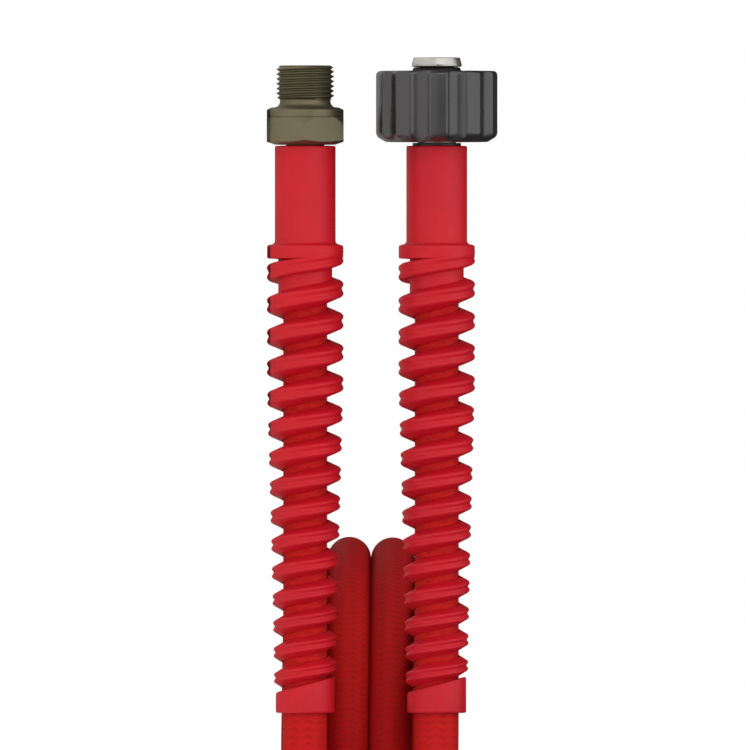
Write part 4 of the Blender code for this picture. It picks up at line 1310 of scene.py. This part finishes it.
def studio_lights():
    """A softbox overhead, a key, a light pad under the ends, and two flat fills."""
    middle = from_ends(0.08, 0.0, NUT_Z / 2)
    softbox("overhead", from_ends(-0.9, -1.1, 1.2), from_ends(-0.9, -1.1, 0.0),
            width=2.8, height=2.6, power=22.5)
    softbox("end_key", from_ends(-0.75, -1.3, 0.35), middle, width=0.7, height=0.7, power=2.4)
    softbox("light_pad", from_ends(0.06, -0.13, 0.001), from_ends(0.06, -0.13, 1.0),
            width=0.36, height=0.36, power=0.14)
    softbox("front_fill", from_ends(0.3, -1.5, 0.2), middle,
            width=1.2, height=0.38, power=6.4, mirrored=False)
    softbox("top_fill", from_ends(0.1, -0.45, 1.0), middle,
            width=0.8, height=0.8, power=1.2, mirrored=False)


def photo_camera():
    """A long lens, level and a quarter turn on its side, so the picture's up is -X."""
    data = bpy.data.cameras.new("photo_camera")
    data.lens = CAMERA_LENS
    data.sensor_width = CAMERA_SENSOR
    frame_width = PHOTO_SIZE / PHOTO_PIXELS_PER_METRE
    distance = CAMERA_LENS * frame_width / CAMERA_SENSOR
    centre_z = MALE_Z + (PHOTO_SIZE / 2 - PHOTO_MALE_AXIS_X) / PHOTO_PIXELS_PER_METRE
    centre_x = END_X + (PHOTO_SIZE / 2 - PHOTO_SLEEVE_TOP_Y) / PHOTO_PIXELS_PER_METRE
    data.clip_start = 0.1
    data.clip_end = 2 * distance
    camera = bpy.data.objects.new("photo_camera", data)
    turn = Matrix(((0, -1, 0), (0, 0, -1), (1, 0, 0))).to_4x4()
    camera.matrix_world = Matrix.Translation((centre_x, END_Y - distance, centre_z)) @ turn
    bpy.context.scene.collection.objects.link(camera)
    bpy.context.scene.camera = camera


# Operators


class HOSE_OT_kink_guards(Operator):
    """Add the two kink guards"""

    bl_idname = "hose.kink_guards"
    bl_label = "Kink guards"

    def execute(self, context):
        mesh = guard_mesh()
        material = guard_moulding()
        ends = (("guard_at_male_end", MALE_Z, "kink_guard_male"),
                ("guard_at_nut_end", NUT_Z, "kink_guard_nut"))
        for name, height, node in ends:
            piece = placed(name, mesh.copy(), end_place(height), material)
            settle(piece, "hose", "guard", node)
        return {"FINISHED"}


class HOSE_OT_ferrules(Operator):
    """Add the two crimped ferrules"""

    bl_idname = "hose.ferrules"
    bl_label = "Ferrules"

    def execute(self, context):
        material = metal("ferrule_steel", FERRULE_STEEL, roughness=0.4, mottle=0.15,
                         density=3000.0, bump=0.15)
        ends = (
            ("ferrule_at_male_end", MALE_Z, FERRULE_MALE_RISE, FERRULE_MALE_NECK_RADIUS,
             "ferrule_male"),
            ("ferrule_at_nut_end", NUT_Z, FERRULE_NUT_RISE, FERRULE_NUT_NECK_RADIUS,
             "ferrule_nut"),
        )
        for name, height, rise, neck, node in ends:
            mesh = mesh_from(turned(ferrule_outline(rise, neck), SPIGOT_STEPS), name)
            settle(placed(name, mesh, end_place(height), material), "hose", "ferrule", node)
        return {"FINISHED"}


class HOSE_OT_male_fitting(Operator):
    """Add the threaded male fitting"""

    bl_idname = "hose.male_fitting"
    bl_label = "Male fitting"

    def execute(self, context):
        material = metal("plated_fitting", colours().plated, roughness=0.50, mottle=0.06,
                         density=2600.0, bump=0.12)
        piece = placed("threaded_fitting", fitting_mesh(), end_place(MALE_Z), material)
        settle(piece, "hose", "plated", "male_fitting")
        return {"FINISHED"}


class HOSE_OT_spigot(Operator):
    """Add the spigot and its O-ring"""

    bl_idname = "hose.spigot"
    bl_label = "Spigot and O-ring"

    def execute(self, context):
        material = metal("bright_steel", colours().steel, roughness=0.34, mottle=0.04,
                         density=5000.0, bump=0.25)
        mesh = mesh_from(spigot_form(), "spigot_body")
        settle(placed("spigot_body", mesh, end_place(NUT_Z), material), "hose", "steel", "spigot")
        mesh = mesh_from(o_ring_form(), "o_ring")
        settle(placed("o_ring", mesh, end_place(NUT_Z), seal_rubber()), "hose", "seal",
               "spigot_o_ring")
        return {"FINISHED"}


class HOSE_OT_hand_nut(Operator):
    """Add the hand nut and its threaded insert"""

    bl_idname = "hose.hand_nut"
    bl_label = "Hand nut"

    def execute(self, context):
        material = metal("insert_brass", INSERT_BRASS, roughness=0.3, mottle=0.08,
                         density=3500.0, bump=0.10)
        piece = placed("threaded_insert", insert_mesh(), end_place(NUT_Z), material)
        settle(piece, "nut", "insert", "nut_insert")
        piece = placed("hand_grip", nut_mesh(), end_place(NUT_Z), grip_plastic())
        settle(piece, "nut", "grip", "grip_nut")
        return {"FINISHED"}


class HOSE_OT_ties(Operator):
    """Add the straps that tie the coil"""

    bl_idname = "hose.ties"
    bl_label = "Coil ties"

    def execute(self, context):
        material = tie_webbing()
        for index, azimuth in enumerate(TIE_AZIMUTHS):
            place = Matrix.Translation(COIL_CENTRE) @ Matrix.Rotation(coil_lean(), 4, "Y")
            place = place @ Matrix.Rotation(azimuth, 4, "Z")
            name = f"strap_{index + 1}"
            piece = placed(name, mesh_from(tie_form(), name), place, material)
            settle(piece, "hose", "tie", f"coil_tie_{index + 1}")
        return {"FINISHED"}


class HOSE_OT_hose(Operator):
    """Add the hose itself, along its whole route"""

    bl_idname = "hose.hose"
    bl_label = "Hose"

    def execute(self, context):
        points, length = hose_route()
        piece = hose_mesh(points, hose_cover())
        settle(piece, "hose", "hose", "hose_coil", "hose_lead_male", "hose_lead_nut", "hose_bight")
        print(f"hose route {length:.3f} m")
        return {"FINISHED"}


class HOSE_OT_studio(Operator):
    """Add the pale floor, the soft lights and the camera"""

    bl_idname = "hose.studio"
    bl_label = "Studio"

    def execute(self, context):
        floor_board()
        studio_world()
        studio_lights()
        photo_camera()
        return {"FINISHED"}


class HOSE_PT_panel(Panel):
    """Lists the hose's pieces and settings"""

    bl_label = "Pressure washer hose"
    bl_idname = "HOSE_PT_panel"
    bl_space_type = "VIEW_3D"
    bl_region_type = "UI"
    bl_category = "Hose"

    def draw(self, context):
        for group in (context.scene.hose_sizes, context.scene.hose_colours):
            for name in group.__annotations__:
                self.layout.prop(group, name)
        for operator in OPERATORS:
            self.layout.operator(operator.bl_idname)


OPERATORS = (
    HOSE_OT_studio,
    HOSE_OT_kink_guards,
    HOSE_OT_ferrules,
    HOSE_OT_male_fitting,
    HOSE_OT_spigot,
    HOSE_OT_hand_nut,
    HOSE_OT_ties,
    HOSE_OT_hose,
)
GROUPS = (HoseSizes, HoseColours)


def register():
    for item in GROUPS + OPERATORS + (HOSE_PT_panel,):
        bpy.utils.register_class(item)
    bpy.types.Scene.hose_sizes = PointerProperty(type=HoseSizes)
    bpy.types.Scene.hose_colours = PointerProperty(type=HoseColours)


def unregister():
    del bpy.types.Scene.hose_colours
    del bpy.types.Scene.hose_sizes
    for item in reversed(GROUPS + OPERATORS + (HOSE_PT_panel,)):
        bpy.utils.unregister_class(item)


def main():
    register()
    bpy.ops.hose.studio()
    bpy.ops.hose.kink_guards()
    bpy.ops.hose.ferrules()
    bpy.ops.hose.male_fitting()
    bpy.ops.hose.spigot()
    bpy.ops.hose.hand_nut()
    bpy.ops.hose.ties()
    bpy.ops.hose.hose()


if __name__ == "__main__":
    main()
